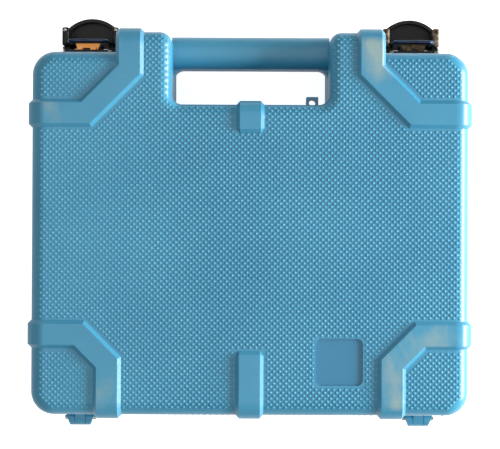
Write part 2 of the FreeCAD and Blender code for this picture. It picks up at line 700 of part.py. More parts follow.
def latch_lever(side, word):
    """Arched lever: two cheeks with a barrel-shaped plate between them, cut to its side outline."""
    name = f"lever_{word}"
    middle = f"{side}*latch_x"
    half = "(latch_width/2)"
    rise = "(lever_crest-lever_spring)"
    arch = f"(({half}*{half}+{rise}*{rise})/(2*{rise}))"
    heel_round = "(pivot_out-2*part_play)"
    low = "(pivot_z-lever_length)"
    high = "(pivot_z-plate_setback)"
    centre = f"wall_y+lever_crest-{arch}"
    outer = rod(f"{name}_outer", arch, middle, centre, (low, high), "Z")
    inner = rod(f"{name}_inner", f"{arch}-lever_plate", middle, centre, (f"{low}-1", f"{high}+1"), "Z")
    above = block(f"{name}_above", (f"{middle}-{half}", f"{middle}+{half}"),
                  ("wall_y+lever_spring-lever_plate", "wall_y+lever_crest+1"), (low, high))
    plate = shared(f"{name}_plate", cut(f"{name}_ring", outer, inner), above)
    cheeks = []
    for hand, sign in (("near", -1), ("far", 1)):
        edge = f"{middle}+{sign}*{half}"
        inside = f"{middle}+{sign}*({half}-lever_cheek)"
        across = (edge, inside) if sign < 0 else (inside, edge)
        cheeks.append(block(f"{name}_cheek_{hand}", across, ("wall_y", "wall_y+lever_spring"),
                            (low, f"pivot_z+{heel_round}")))
    web_top = "pivot_z-0.6*lever_length"
    web_box = block(f"{name}_web_box", (f"{middle}-{half}+lever_cheek/2", f"{middle}+{half}-lever_cheek/2"),
                    (f"pivot_y-{heel_round}", "wall_y+lever_crest"), (f"{web_top}-lever_plate", web_top))
    web = shared(f"{name}_web", web_box, outer)
    section = joined(f"{name}_section", [plate, web] + cheeks)
    span = (f"{middle}-{half}-1", f"{middle}+{half}+1")
    heel = rod(f"{name}_heel", heel_round, span, "pivot_y", "pivot_z", "X")
    tail = prism(f"{name}_tail", ((f"pivot_y-{heel_round}", "pivot_z"), (f"pivot_y+{heel_round}", "pivot_z"),
                                  ("wall_y+lever_spring", "pivot_z-plate_setback/2"),
                                  ("wall_y+lever_crest+1", "pivot_z-plate_setback"),
                                  ("wall_y+lever_crest+1", "pivot_z-0.7*lever_length"),
                                  ("wall_y+lever_spring-2", "pivot_z-lever_length"),
                                  ("wall_y+lever_spring/2", "pivot_z-lever_length"),
                                  (f"pivot_y-{heel_round}", "pivot_z-0.6*lever_length")), "YZ", *span)
    outline = joined(f"{name}_outline", [heel, tail])
    shaped = shared(f"{name}_shaped", section, outline)
    bores = [rod(f"{name}_bore", "latch_pin/2+pin_play", span, "pivot_y", "pivot_z", "X"),
             rod(f"{name}_seat", "bail_wire/2+pin_play", span, "wall_y+bail_seat_out", "low_plane-bail_seat_down", "X")]
    keep(f"latch_lever_{word}", cut(name, shaped, joined(f"{name}_bores", bores)))


def wire_bail(side, word):
    """Bent wire: a crossbar, two legs and two ends that turn outward into the lever's cheeks."""
    middle = value(f"{side}*latch_x")
    leg = value("latch_width/2-lever_cheek-bail_wire/2-part_play")
    end = value("latch_width/2-part_play")
    bend = value("bail_bend")
    seat = Vector(0, value("wall_y+bail_seat_out"), value("low_plane-bail_seat_down"))
    top = Vector(0, value("wall_y+catch_height+bail_wire/2+part_play"), value("high_plane+bail_top"))
    along = (top - seat).normalize()
    across = Vector(1, 0, 0)

    def at(x, base):
        return across * (middle + x) + base

    tight = value("bail_wire/2+part_play")
    start = at(-end, seat)
    finish = at(end, seat)
    corners = (
        (at(-leg, seat), -across, along, tight),
        (at(-leg, top), -along, across, bend),
        (at(leg, top), -across, -along, bend),
        (at(leg, seat), along, across, tight),
    )
    route = []
    last = start
    for corner, before, after, radius in corners:
        first = corner + before * radius
        second = corner + after * radius
        route.append(Part.makeLine(last, first))
        route.append(round_arc(first, corner + (before + after) * radius, second))
        last = second
    route.append(Part.makeLine(last, finish))
    path = Part.Wire(route)
    section = Part.Wire(Part.makeCircle(value("bail_wire/2"), start, across))
    sweep = Part.BRepOffsetAPI.MakePipeShell(path)
    sweep.add(section)
    sweep.build()
    sweep.makeSolid()
    keep(f"latch_bail_{word}", made(f"bail_{word}", sweep.shape()))


def strike_plate(side, word):
    """Notched plate that stands out of the lid's latch wall on two riveted feet."""
    name = f"strike_{word}"
    middle = f"{side}*latch_x"
    seat = "wall_y+2*part_play+keeper_thick"
    z_low = "high_plane+bail_top-bail_wire/2-catch_plate-part_play"
    z_high = "high_plane+bail_top-bail_wire/2-part_play"
    foot_half = "(catch_width/2)"
    notch_half = "(catch_notch/2)"
    outline = ((f"{middle}-{foot_half}", seat), (f"{middle}-{notch_half}", seat),
               (f"{middle}-{notch_half}", "wall_y+catch_height/2"), (f"{middle}+{notch_half}", "wall_y+catch_height/2"),
               (f"{middle}+{notch_half}", seat), (f"{middle}+{foot_half}", seat),
               (f"{middle}+catch_tip/2", "wall_y+catch_height"), (f"{middle}-catch_tip/2", "wall_y+catch_height"))
    parts = [prism(f"{name}_lip", outline, "XY", z_low, z_high)]
    for hand, sign in (("near", -1), ("far", 1)):
        a = f"{middle}+{sign}*{notch_half}"
        b = f"{middle}+{sign}*{foot_half}"
        across = (b, a) if sign < 0 else (a, b)
        parts.append(block(f"{name}_foot_{hand}", across, (seat, f"{seat}+catch_plate"),
                           (z_high, f"{z_high}+catch_foot")))
        parts.append(block(f"{name}_root_{hand}", across, (seat, f"{seat}+catch_plate"), (z_low, z_high)))
    keep(f"latch_strike_{word}", joined(name, parts))
    keeper_half = "(latch_width/2-lever_cheek-part_play)"
    keeper = block(f"keeper_{word}", (f"{middle}-{keeper_half}", f"{middle}+{keeper_half}"),
                   ("wall_y+part_play", "wall_y+part_play+keeper_thick"), (z_low, f"{z_high}+catch_foot+catch_plate"))
    keep(f"latch_keeper_{word}", rounded(f"keeper_soft_{word}", keeper, side_edge, "catch_plate"))
    rivets = []
    for hand, sign in (("near", -1), ("far", 1)):
        rivet = doc.addObject("Part::Cone", f"rivet_{word}_{hand}")
        rivet.Placement = Placement(Vector(), Rotation(Vector(1, 0, 0), -90))
        bind(rivet, Radius1="rivet_head/2", Radius2="rivet_head/3", Height="rivet_rise")
        bind_place(rivet, f"{middle}+{sign}*(catch_notch/4+catch_width/4)", f"{seat}+catch_plate+0.05",
                   f"{z_high}+catch_foot/2")
        rivets.append(rivet)
    holder = doc.addObject("Part::Compound", f"rivets_{word}")
    holder.Links = rivets
    keep(f"strike_rivets_{word}", holder)


# ---------------------------------------------------------------- foam

def scanner_form(name, inset, z, rolled=None):
    """Plan of the scanner, head and grip in one, drawn in by an inset."""
    middle = "scanner_y"
    head = (f"(scanner_x+({inset}))", f"(scanner_x+head_length-({inset}))")
    grip = ("(scanner_x+head_length/2)", f"(scanner_x+scanner_length-({inset}))")
    head_y = (f"{middle}-head_width/2+({inset})", f"{middle}+head_width/2-({inset})")
    grip_y = (f"{middle}-grip_width/2+({inset})", f"{middle}+grip_width/2-({inset})")
    head_corner = f"head_corner-({inset})"
    grip_corner = f"grip_end-({inset})"
    roll = f"scanner_round-({inset})" if rolled else None
    return joined(name, [cushion(f"{name}_head", head, head_y, z, head_corner, roll, rolled),
                         cushion(f"{name}_grip", grip, grip_y, z, grip_corner, roll, rolled)])


def store_sides(play):
    """Sides of a foam piece that fills the storage space."""
    across = (f"side_wall+{play}-case_width/2", f"case_width/2-side_wall-{play}")
    along = (f"store_low+{play}", f"store_high-{play}")
    return across, along


def foam():
    across, along = store_sides("foam_play")
    corner = "store_corner-foam_play"
    deep_corner = "store_corner-store_round"
    deep_across, deep_along = store_sides("(foam_play+store_round)")
    keep("foam_base_pad", slab("bed", deep_across, deep_along, ("bed_low", "bed_low+bed_height"), deep_corner))
    z = ("block_low", "block_low+block_height")
    through = ("block_low-1", "block_low+block_height+1")
    bay = scanner_form("bay", "-foam_play", through)
    tools = [bay, cushion("tray", ("tray_x-tray_width/2", "tray_x+tray_width/2"),
                          ("scanner_y-tray_length/2", "scanner_y+tray_length/2"), through, "store_corner")]
    for hand, sign in (("low", -1), ("high", 1)):
        tools.append(rod(f"finger_{hand}", "finger_round", "scanner_x+0.7*scanner_length",
                         f"scanner_y+{sign}*grip_width/2", through, "Z"))
    block_body = cushion("foam_blank", across, along, z, corner)
    keep("foam_block", cut("foam_cut", block_body, joined("foam_tools", tools)))
    ceiling = "high_plane+half_depth-face_wall-part_play"
    keep("lid_foam", slab("lid_pad", deep_across, deep_along, (f"{ceiling}-lid_foam_height", ceiling), deep_corner))


# ---------------------------------------------------------------- scanner

def along_scanner(start, length):
    return (f"scanner_x+{start}", f"scanner_x+{start}+{length}")


def across_scanner(width):
    return (f"scanner_y-({width})/2", f"scanner_y+({width})/2")


def boss_places():
    for x_word, x in (("near", "boss_x_near"), ("far", "boss_x_far")):
        for y_word, sign in (("low", -1), ("high", 1)):
            yield f"{x_word}_{y_word}", x, f"scanner_y+{sign}*boss_out"


def scanner_housings():
    split = "part_play/2"
    low_z = ("scanner_low", f"scanner_mid-{split}")
    high_z = (f"scanner_mid+{split}", "scanner_top")
    floor = ("scanner_low+scanner_wall", "scanner_mid+1")
    roof = ("scanner_mid-1", "scanner_top-scanner_wall")
    lower = cut("lower_tray", scanner_form("lower_form", "0", low_z, "scanner_low"),
                scanner_form("lower_room", "scanner_wall", floor))
    upper = cut("upper_tray", scanner_form("upper_form", "0", high_z, "scanner_top"),
                scanner_form("upper_room", "scanner_wall", roof))
    lower_bosses = []
    upper_bosses = []
    lower_holes = []
    upper_holes = []
    for name, x, y in boss_places():
        lower_bosses.append(rod(f"lower_boss_{name}", "boss_round", x, y,
                                ("scanner_low+scanner_wall/2", "board_low-part_play"), "Z"))
        upper_bosses.append(rod(f"upper_boss_{name}", "boss_round", x, y,
                                ("board_high+part_play", "scanner_top-scanner_wall/2"), "Z"))
        lower_holes.append(rod(f"lower_pass_{name}", "screw_round+pin_play", x, y,
                               ("scanner_low-1", "board_low+1"), "Z"))
        lower_holes.append(rod(f"lower_sink_{name}", "screw_head+pin_play", x, y,
                               ("scanner_low-1", "scanner_low+screw_sink"), "Z"))
        upper_holes.append(rod(f"upper_pilot_{name}", "screw_round+pin_play", x, y,
                               ("board_low", "scanner_top-scanner_wall"), "Z"))
    bay = cushion("battery_bay", along_scanner("battery_start-scanner_wall", "battery_length+2*scanner_wall"),
                  across_scanner("4*battery_round+2*scanner_wall"),
                  ("scanner_low-1", "scanner_low+scanner_wall+1"), "scanner_wall")
    lower_holes.append(bay)
    window = cushion("window_hole", along_scanner("window_start", "window_length"),
                     across_scanner("window_width"), ("scanner_top-scanner_wall-1", "scanner_top+1"), "scanner_wall")
    upper_holes += [window, rod("button_hole", "button_round+part_play", "scanner_x+button_start", "scanner_y",
                                ("scanner_top-scanner_wall-1", "scanner_top+1"), "Z")]
    keep("scanner_lower_housing", cut("lower_housing", joined("lower_whole", [lower] + lower_bosses),
                                      joined("lower_holes", lower_holes)))
    keep("scanner_upper_housing", cut("upper_housing", joined("upper_whole", [upper] + upper_bosses),
                                      joined("upper_holes", upper_holes)))


def scanner_inside():
    play = "part_play"
    board = slab("board", along_scanner("board_start", "board_length"), across_scanner("board_width"),
                 ("board_low", "board_high"), "scanner_wall")
    holes = [rod(f"board_hole_{name}", "screw_round+3*pin_play", x, y, ("board_low-1", "board_high+1"), "Z")
             for name, x, y in boss_places()]
    switch = block("switch", along_scanner("button_start-button_round/2", "button_round"),
                   across_scanner("button_round"), ("board_low", "board_high+switch_height"))
    keep("scanner_circuit_board", cut("board_drilled", joined("board_whole", [board, switch]),
                                      joined("board_holes", holes)))
    window_low = "scanner_top-scanner_wall"
    keep("scanner_display_window", slab("window", along_scanner(f"window_start+{play}", f"window_length-2*{play}"),
                                        across_scanner(f"window_width-2*{play}"),
                                        (window_low, f"scanner_top-{play}"), "scanner_wall"))
    keep("scanner_display", slab("display", along_scanner("window_start-1", "window_length+2"),
                                 across_scanner("window_width+4"),
                                 (f"board_high+{play}", f"{window_low}-{play}")))
    flange_high = f"({window_low}-{play})"
    flange_low = f"({flange_high}-button_flange)"
    stem_low = "(board_high+switch_height+button_rise)"
    cap = rod("button_cap", "button_round", "scanner_x+button_start", "scanner_y",
              (flange_low, "scanner_top+button_rise"), "Z")
    flange = rod("button_skirt", "button_round+button_skirt", "scanner_x+button_start", "scanner_y",
                 (flange_low, flange_high), "Z")
    stem = rod("button_stem", "button_round/3", "scanner_x+button_start", "scanner_y", (stem_low, flange_high), "Z")
    keep("scan_button", joined("button", [cap, flange, stem]))
    coil_outer = "scanner_wall+coil_inset"
    coil_z = ("scanner_low+scanner_wall+part_play", "scanner_low+scanner_wall+part_play+coil_height")
    ring = []
    for word, inset in (("outer", coil_outer), ("inner", f"{coil_outer}+coil_band")):
        z = coil_z if word == "outer" else (f"{coil_z[0]}-1", f"{coil_z[1]}+1")
        ring.append(cushion(f"coil_{word}", (f"scanner_x+{inset}", f"scanner_x+head_length-2*boss_round-({inset})"),
                            (f"scanner_y-head_width/2+{inset}", f"scanner_y+head_width/2-({inset})"),
                            z, f"head_corner-({inset})"))
    keep("scanner_antenna_coil", cut("coil", *ring))
    buzzer = rod("buzzer_can", "window_width/4", "scanner_x+board_start+1.4*boss_round+window_width/4",
                 "scanner_y", (f"board_low-{play}-battery_round", f"board_low-{play}"), "Z")
    keep("scanner_buzzer", buzzer)
    cells = []
    for word, sign in (("low", -1), ("high", 1)):
        x = along_scanner("battery_start", "battery_length")
        cell = rod(f"cell_{word}", "battery_round", x, f"scanner_y+{sign}*(battery_round+{play}/2)", "cell_z", "X")
        cells.append(cell)
    holder = doc.addObject("Part::Compound", "cells")
    holder.Links = cells
    keep("scanner_battery_cells", holder)
    keep("scanner_battery_door", slab("door",
                                      along_scanner(f"battery_start-scanner_wall+{play}",
                                                    f"battery_length+2*scanner_wall-2*{play}"),
                                      across_scanner(f"4*battery_round+2*scanner_wall-2*{play}"),
                                      ("scanner_low", "scanner_low+scanner_wall"), "scanner_wall"))
    screws = []
    for name, x, y in boss_places():
        head = rod(f"screw_head_{name}", "screw_head", x, y,
                   ("scanner_low+pin_play", "scanner_low+screw_sink-pin_play"), "Z")
        shank = rod(f"screw_shank_{name}", "screw_round", x, y,
                    ("scanner_low+screw_sink/2", "scanner_top-scanner_wall-1"), "Z")
        screws.append(joined(f"screw_{name}", [head, shank]))
    group = doc.addObject("Part::Compound", "screws")
    group.Links = screws
    keep("scanner_housing_screws", group)


fill_sheet()
keep("lower_shell", moulded_half("base"))
keep("upper_shell", moulded_half("lid"))
for side, word in ((-1, "left"), (1, "right")):
    hinge_pin(side, word)
    pivot_pin(side, word)
    latch_lever(side, word)
    wire_bail(side, word)
    strike_plate(side, word)
foam()
scanner_housings()
scanner_inside()
doc.recompute()
for thing in doc.Objects:
    if "Invalid" in thing.State or "Error" in thing.State:
        raise RuntimeError(f"{thing.Name} failed to build: {thing.State}")
for piece in pieces:
    if piece.Shape.isNull() or not piece.Shape.isValid() or not piece.Shape.Solids:
        raise RuntimeError(f"{piece.Label} has no valid solid")
os.makedirs("parts", exist_ok=True)
for piece in pieces:
    piece.Shape.exportStep(f"parts/{piece.Label}.step")
    print(piece.Label, len(piece.Shape.Solids), round(piece.Shape.Volume), piece.Shape.BoundBox)
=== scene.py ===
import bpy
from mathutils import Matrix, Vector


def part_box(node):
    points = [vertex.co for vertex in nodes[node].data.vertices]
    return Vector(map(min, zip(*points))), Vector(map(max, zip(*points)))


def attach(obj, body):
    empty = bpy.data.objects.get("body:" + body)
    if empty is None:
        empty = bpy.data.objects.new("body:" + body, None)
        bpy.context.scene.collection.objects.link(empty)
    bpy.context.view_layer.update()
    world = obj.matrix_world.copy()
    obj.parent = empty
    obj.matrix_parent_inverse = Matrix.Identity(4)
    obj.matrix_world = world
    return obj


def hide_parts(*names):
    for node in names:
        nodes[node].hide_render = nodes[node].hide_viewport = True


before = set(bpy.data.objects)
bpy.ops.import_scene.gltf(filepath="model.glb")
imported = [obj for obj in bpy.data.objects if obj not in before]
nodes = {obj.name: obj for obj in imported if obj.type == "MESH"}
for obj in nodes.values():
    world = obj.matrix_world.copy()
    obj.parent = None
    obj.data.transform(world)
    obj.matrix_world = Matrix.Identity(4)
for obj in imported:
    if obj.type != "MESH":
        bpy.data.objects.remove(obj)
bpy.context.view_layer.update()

import math

import bmesh
import bpy
from mathutils import Matrix, Vector
from mathutils.bvhtree import BVHTree

# Blow-moulded carry case with a hand-held microchip scanner bedded in its foam.
# Lengths are written in millimetres and turned to metres by mm(), unless a comment says otherwise.

scene = bpy.context.scene


def mm(*lengths):
    """Millimetres to metres, one number or several."""
    return lengths[0] / 1000 if len(lengths) == 1 else tuple(length / 1000 for length in lengths)


# ---------------------------------------------------------------- sizes that the pieces share, mm

BODY_HALF_X = 146.5        # case body, from its middle to a side wall
BODY_HALF_Y = 121.8        # and to the hinge wall or the latch wall
HINGE_REACH = 10.8         # hinge bumps beyond the case body
# Middle of the body along Y.
BODY_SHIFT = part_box("upper_shell")[0].y * 1000 + BODY_HALF_Y + HINGE_REACH
PARTING = 44.75            # height of the plane where lid and base meet
HALF_DEPTH = 40            # side wall of each half, with the rolled edge
EDGE_ROLL = 9.0            # radius of that edge
STRAP_HALF = 9.4           # half a strap's width
STRAP_CLEAR = 1.3          # smooth band left beside a strap
STRAP_TOP = 88.0           # height at which knocks on the lid's straps are centred
GRIP_HALF, GRIP_LOW = 53.0, 86.6         # handle opening: half its width, and its lower edge
CHEEK_REACH = 14.0                       # rounded cheeks beside the opening
PANEL_X, PANEL_Y = 60.0, -85.6           # middle of the recessed square
PANEL_HALF, PANEL_FLOOR = 15.7, 85.5     # its half width, and the height of its floor
TAB_END, FOOT_END = 66.5, -77.7          # inner ends of the tab under the handle and of the foot
HINGE_X, HINGE_HALF = 116.5, 12.5        # hinges from the middle, and half the smooth place there
LATCH_X, LATCH_HALF = 111.5, 19.0        # the same for the latches
PIVOT_OUT, PIVOT_BELOW = 5.0, 7.15       # lever pivot from the latch wall, and below the parting

# Middle lines of the straps on a face, from the middle of the case body.
STRAP_LINES = [
    [(side * 160, 79.9), (side * 110, 79.9), (side * 80.8, 109.1), (side * 80.8, 150)]
    for side in (-1, 1)
] + [
    [(side * 160, -67.6), (side * 114, -67.6), (side * 95, -86.6), (side * 95, -150)]
    for side in (-1, 1)
]
# Places on the lid's straps that are knocked and rubbed most: x, y from the body's middle, reach.
KNOCKED_SPOTS = [(-98, -107, 22), (118, -68, 20), (108, -84, 20), (98, -96, 20), (97, -116, 14),
                 (82, 109, 16), (78, 126, 14), (-87, 105, 10), (-135, 87, 12)]

GRIP_PITCH_X, GRIP_PITCH_Y = 4.0, 2.0    # raised diamonds: from one to the next, and between rows
GRIP_WIDE, GRIP_TALL = 2.6, 0.52         # their width and height
GRIP_SIDE_STEPS = 38                     # diamonds to each side of the middle of a side wall

SCANNER_FACE = 48.2                      # height of the scanner's flat face
HEAD_X = -65.0                           # middle of the scanner's head
HEAD_HALF_X, HEAD_HALF_Y, HEAD_ROUND = 33.0, 35.0, 27.0
BUTTON_COLLAR = 9.4                      # radius of the collar round the button

# Strengths, 1 is white.
ROOM_LIGHT = 0.39          # what the room lights the object with
FLOOR_GLOW = 0.85          # added to the lit floor where it is seen as background
MIRRORED_SHARE = 0.3       # how much of the background glossy surfaces mirror


# ---------------------------------------------------------------- material helpers

def colour(code):
    """sRGB hex code to linear red, green, blue, alpha."""
    parts = [int(code[i:i + 2], 16) / 255 for i in (1, 3, 5)]
    linear = (p / 12.92 if p <= 0.04045 else ((p + 0.055) / 1.055) ** 2.4 for p in parts)
    return (*linear, 1.0)


def add(material, kind, links=None, outputs=None, **settings):
    """Add a node, set its sockets by name or number, its attributes, and link sockets to it."""
    node = material.node_tree.nodes.new(kind)
    for name, setting in settings.items():
        setattr(node, name, setting)
    for socket, setting in (outputs or {}).items():
        node.inputs[socket].default_value = setting
    for socket, (source, output) in (links or {}).items():
        material.node_tree.links.new(source.outputs[output], node.inputs[socket])
    return node


def new_material(name, **sockets):
    """A material whose main shader has the given constants on its own sockets."""
    material = bpy.data.materials.new(name)
    material.use_nodes = True
    shader = material.node_tree.nodes["Principled BSDF"]
    for socket, setting in sockets.items():
        shader.inputs[socket.replace("_", " ")].default_value = setting
    return material, shader


def feed(material, source, output, target, socket):
    """Link an output of one node to a socket of another."""
    material.node_tree.links.new(source.outputs[output], target.inputs[socket])


def ramp(material, source, output, stops):
    """Colour ramp with (place, colour) stops fed by a number."""
    node = add(material, "ShaderNodeValToRGB", {"Fac": (source, output)})
    elements = node.color_ramp.elements
    while len(elements) < len(stops):
        elements.new(0.5)
    for element, (place, shade) in zip(elements, stops):
        element.position = place
        element.color = colour(shade)
    return node


def speckle(material, space, scale_mm, detail=4.0, rough=0.55):
    """Noise whose largest grains are about scale_mm across."""
    return add(material, "ShaderNodeTexNoise", {"Vector": (space, "Object")},
               {"Scale": 1000 / scale_mm, "Detail": detail, "Roughness": rough})


def bumped(material, shader, source, output, height_mm, normal=None):
    """Feed a height pattern into the shader's normal."""
    links = {"Height": (source, output)}
    if normal:
        links["Normal"] = (normal, "Normal")
    node = add(material, "ShaderNodeBump", links, {"Strength": 1.0, "Distance": mm(height_mm)})
    feed(material, node, "Normal", shader, "Normal")
    return node


# ---------------------------------------------------------------- materials

def moulded_polyethylene(name, dark, light):
    """Blow-moulded high-density polyethylene in mid blue: waxy, half gloss, cloudy in tone,
    with the slight orange peel of the mould and chalky scuffs on what stands out most."""
    material, shader = new_material(name, Roughness=0.30, IOR=1.54, Specular_IOR_Level=0.5,
                                    Subsurface_Weight=0.06)
    shader.inputs["Subsurface Radius"].default_value = mm(1.2, 2.2, 2.8)
    space = add(material, "ShaderNodeTexCoord")
    clouds = speckle(material, space, 70, 3.0)
    base = ramp(material, clouds, "Fac", [(0.3, dark), (0.7, light)])
    split = add(material, "ShaderNodeSeparateXYZ", {"Vector": (space, "Object")})
    # How far out a point lies from the middle of the closed case: straps stand out most.
    centred = add(material, "ShaderNodeMath", {0: (split, "Z")}, {1: mm(PARTING)},
                  operation="SUBTRACT")
    height = add(material, "ShaderNodeMath", {0: (centred, "Value")}, operation="ABSOLUTE")
    proud = add(material, "ShaderNodeMapRange", {"Value": (height, "Value")},
                {"From Min": mm(43.2), "From Max": mm(44.6)})
    # Painted shade: the floor of the recessed square is painted a darker blue, standing in for the
    # shade that falls in the recess.
    sunk = add(material, "ShaderNodeMapRange", {"Value": (height, "Value")},
               {"From Min": mm(41.6), "From Max": mm(41.0)})
    off_middle = add(material, "ShaderNodeVectorMath", {0: (space, "Object")},
                     {1: mm(PANEL_X, PANEL_Y + BODY_SHIFT, PANEL_FLOOR)}, operation="DISTANCE")
    within = add(material, "ShaderNodeMapRange", {"Value": (off_middle, "Value")},
                 {"From Min": mm(25.0), "From Max": mm(21.5), "To Max": 0.6})
    film = add(material, "ShaderNodeMath", {0: (sunk, "Result"), 1: (within, "Result")},
               operation="MULTIPLY")
    # The recess floor is mixed toward darker blue as painted shade.
    recess_shaded = add(material, "ShaderNodeMix", {0: (film, "Value"), 6: (base, "Color")},
                {7: colour("#2A6F95")}, data_type="RGBA")
    # Scuffs: streaks along the case where patches of wear and knocked spots meet.
    stretch = add(material, "ShaderNodeMapping", {"Vector": (space, "Object")},
                  {"Scale": (1.0, 0.45, 1.0)})
    streaks = add(material, "ShaderNodeTexNoise", {"Vector": (stretch, "Vector")},
                  {"Scale": 1000 / 26, "Detail": 9.0, "Roughness": 0.68})
    patches = speckle(material, space, 95, 2.0)
    worn = add(material, "ShaderNodeMath", {0: (streaks, "Fac"), 1: (patches, "Fac")},
               operation="MULTIPLY")
    for spot_x, spot_y, reach in KNOCKED_SPOTS:
        away = add(material, "ShaderNodeVectorMath", {0: (space, "Object")},
                   {1: mm(spot_x, spot_y + BODY_SHIFT, STRAP_TOP)}, operation="DISTANCE")
        near = add(material, "ShaderNodeMapRange", {"Value": (away, "Value")},
                   {"From Min": mm(reach), "From Max": 0.0, "To Max": 0.12})
        worn = add(material, "ShaderNodeMath", {0: (worn, "Value"), 1: (near, "Result")},
                   operation="ADD")
    rubbed = add(material, "ShaderNodeMapRange", {"Value": (worn, "Value")},
                 {"From Min": 0.31, "From Max": 0.47})
    scuffs = add(material, "ShaderNodeMath", {0: (rubbed, "Result"), 1: (proud, "Result")},
                 operation="MULTIPLY")
    # Chalky scuffs cover half of the blue at most.
    faded = add(material, "ShaderNodeMath", {0: (scuffs, "Value")}, {1: 0.52}, operation="MULTIPLY")
    chalk = add(material, "ShaderNodeMix", {0: (faded, "Value"), 6: (recess_shaded, 2)},
                {7: colour("#B3B69B")}, data_type="RGBA")
    feed(material, chalk, 2, shader, "Base Color")
    dull = add(material, "ShaderNodeMapRange", {"Value": (scuffs, "Value")},
               {"To Min": 0.30, "To Max": 0.6})
    feed(material, dull, "Result", shader, "Roughness")
    peel = speckle(material, space, 1.6, 2.0)
    bumped(material, shader, peel, "Fac", 0.035)
    return material


def glossy_nylon():
    """Injection-moulded black nylon: deep black with a soft sheen, brushed by fingers."""
    material, shader = new_material("moulded_black_nylon", Roughness=0.32, IOR=1.53,
                                    Specular_IOR_Level=0.25)
    space = add(material, "ShaderNodeTexCoord")
    grease = speckle(material, space, 9, 5.0)
    feed(material, ramp(material, grease, "Fac", [(0.3, "#050506"), (0.75, "#0E0F10")]), "Color",
         shader, "Base Color")
    sheen = add(material, "ShaderNodeMapRange", {"Value": (grease, "Fac")},
                {"To Min": 0.24, "To Max": 0.46})
    feed(material, sheen, "Result", shader, "Roughness")
    edge = add(material, "ShaderNodeBevel", None, {"Radius": mm(0.45)}, samples=6)
    bumped(material, shader, speckle(material, space, 0.9, 2.0), "Fac", 0.012, edge)
    return material


def metal(name, dark, light, rough, grain_mm, stretch=(1.0, 1.0, 1.0), rust=None):
    """A metal whose tone and gloss wander with its finish."""
    material, shader = new_material(name, Metallic=1.0, Roughness=rough)
    space = add(material, "ShaderNodeTexCoord")
    drawn = add(material, "ShaderNodeMapping", {"Vector": (space, "Object")}, {"Scale": stretch})
    grain = add(material, "ShaderNodeTexNoise", {"Vector": (drawn, "Vector")},
                {"Scale": 1000 / grain_mm, "Detail": 6.0, "Roughness": 0.6})
    stops = [(0.32, dark), (0.68, light)]
    if rust:
        stops = [(0.30, rust), (0.42, dark), (0.70, light)]
    feed(material, ramp(material, grain, "Fac", stops), "Color", shader, "Base Color")
    gloss = add(material, "ShaderNodeMapRange", {"Value": (grain, "Fac")},
                {"To Min": rough * 0.75, "To Max": min(1.0, rough * 1.4)})
    feed(material, gloss, "Result", shader, "Roughness")
    bumped(material, shader, grain, "Fac", 0.01)
    return material


def foamed(name, dark, light):
    """Open-cell polyurethane foam: matt, full of small dark pores."""
    material, shader = new_material(name, Roughness=0.95, IOR=1.45, Specular_IOR_Level=0.2,
                                    Sheen_Weight=0.25)
    space = add(material, "ShaderNodeTexCoord")
    # Real cells are about 0.5 mm; they are drawn 1.1 mm wide so that they show.
    cells = add(material, "ShaderNodeTexVoronoi", {"Vector": (space, "Object")},
                {"Scale": 1000 / 1.1})
    feed(material, ramp(material, cells, "Distance", [(0.05, dark), (0.5, light)]), "Color",
         shader, "Base Color")
    bumped(material, shader, cells, "Distance", 0.35)
    return material


def fine_plastic(name, dark, light, rough, grain_mm, height_mm):
    """Injection-moulded plastic with the fine spark-eroded grain of its mould."""
    material, shader = new_material(name, Roughness=rough, IOR=1.53)
    space = add(material, "ShaderNodeTexCoord")
    tone = speckle(material, space, 24, 3.0)
    feed(material, ramp(material, tone, "Fac", [(0.3, dark), (0.7, light)]), "Color",
         shader, "Base Color")
    edge = add(material, "ShaderNodeBevel", None, {"Radius": mm(0.4)}, samples=6)
    bumped(material, shader, speckle(material, space, grain_mm, 3.0), "Fac", height_mm, edge)
    return material


def clear_window():
    """Clear moulded acrylic: glossy, with the faintest grey and fine wipe marks."""
    material, shader = new_material("clear_acrylic", Roughness=0.06, IOR=1.49,
                                    Transmission_Weight=0.92)
    space = add(material, "ShaderNodeTexCoord")
    wipes = speckle(material, space, 3.0, 6.0)
    feed(material, ramp(material, wipes, "Fac", [(0.2, "#DDE6E4"), (0.8, "#F3F7F6")]), "Color",
         shader, "Base Color")
    rough = add(material, "ShaderNodeMapRange", {"Value": (wipes, "Fac")},
                {"To Min": 0.03, "To Max": 0.12})
    feed(material, rough, "Result", shader, "Roughness")
    return material


def liquid_crystal():
    """Unpowered liquid-crystal display: grey-green film with a faint dot matrix."""
    material, shader = new_material("liquid_crystal_panel", Roughness=0.28, IOR=1.5)
    space = add(material, "ShaderNodeTexCoord")
    dots = add(material, "ShaderNodeTexVoronoi", {"Vector": (space, "Object")},
               {"Scale": 1000 / 0.8, "Randomness": 0.0}, distance="CHEBYCHEV")
    feed(material, ramp(material, dots, "Distance", [(0.38, "#8E9C84"), (0.46, "#7C8A74")]),
         "Color", shader, "Base Color")
    return material


def board_laminate():
    """Glass-epoxy board under green solder mask, with copper traces glinting through."""
    material, shader = new_material("solder_masked_laminate", Roughness=0.3, IOR=1.5)
    space = add(material, "ShaderNodeTexCoord")
    traces = add(material, "ShaderNodeTexBrick", {"Vector": (space, "Object")},
                 {"Scale": 1000 / 9, "Mortar Size": 0.03, "Color1": colour("#1C5B38"),
                  "Color2": colour("#1E6540"), "Mortar": colour("#2F8258")})
    feed(material, traces, "Color", shader, "Base Color")
    bumped(material, shader, traces, "Fac", 0.04)
    return material


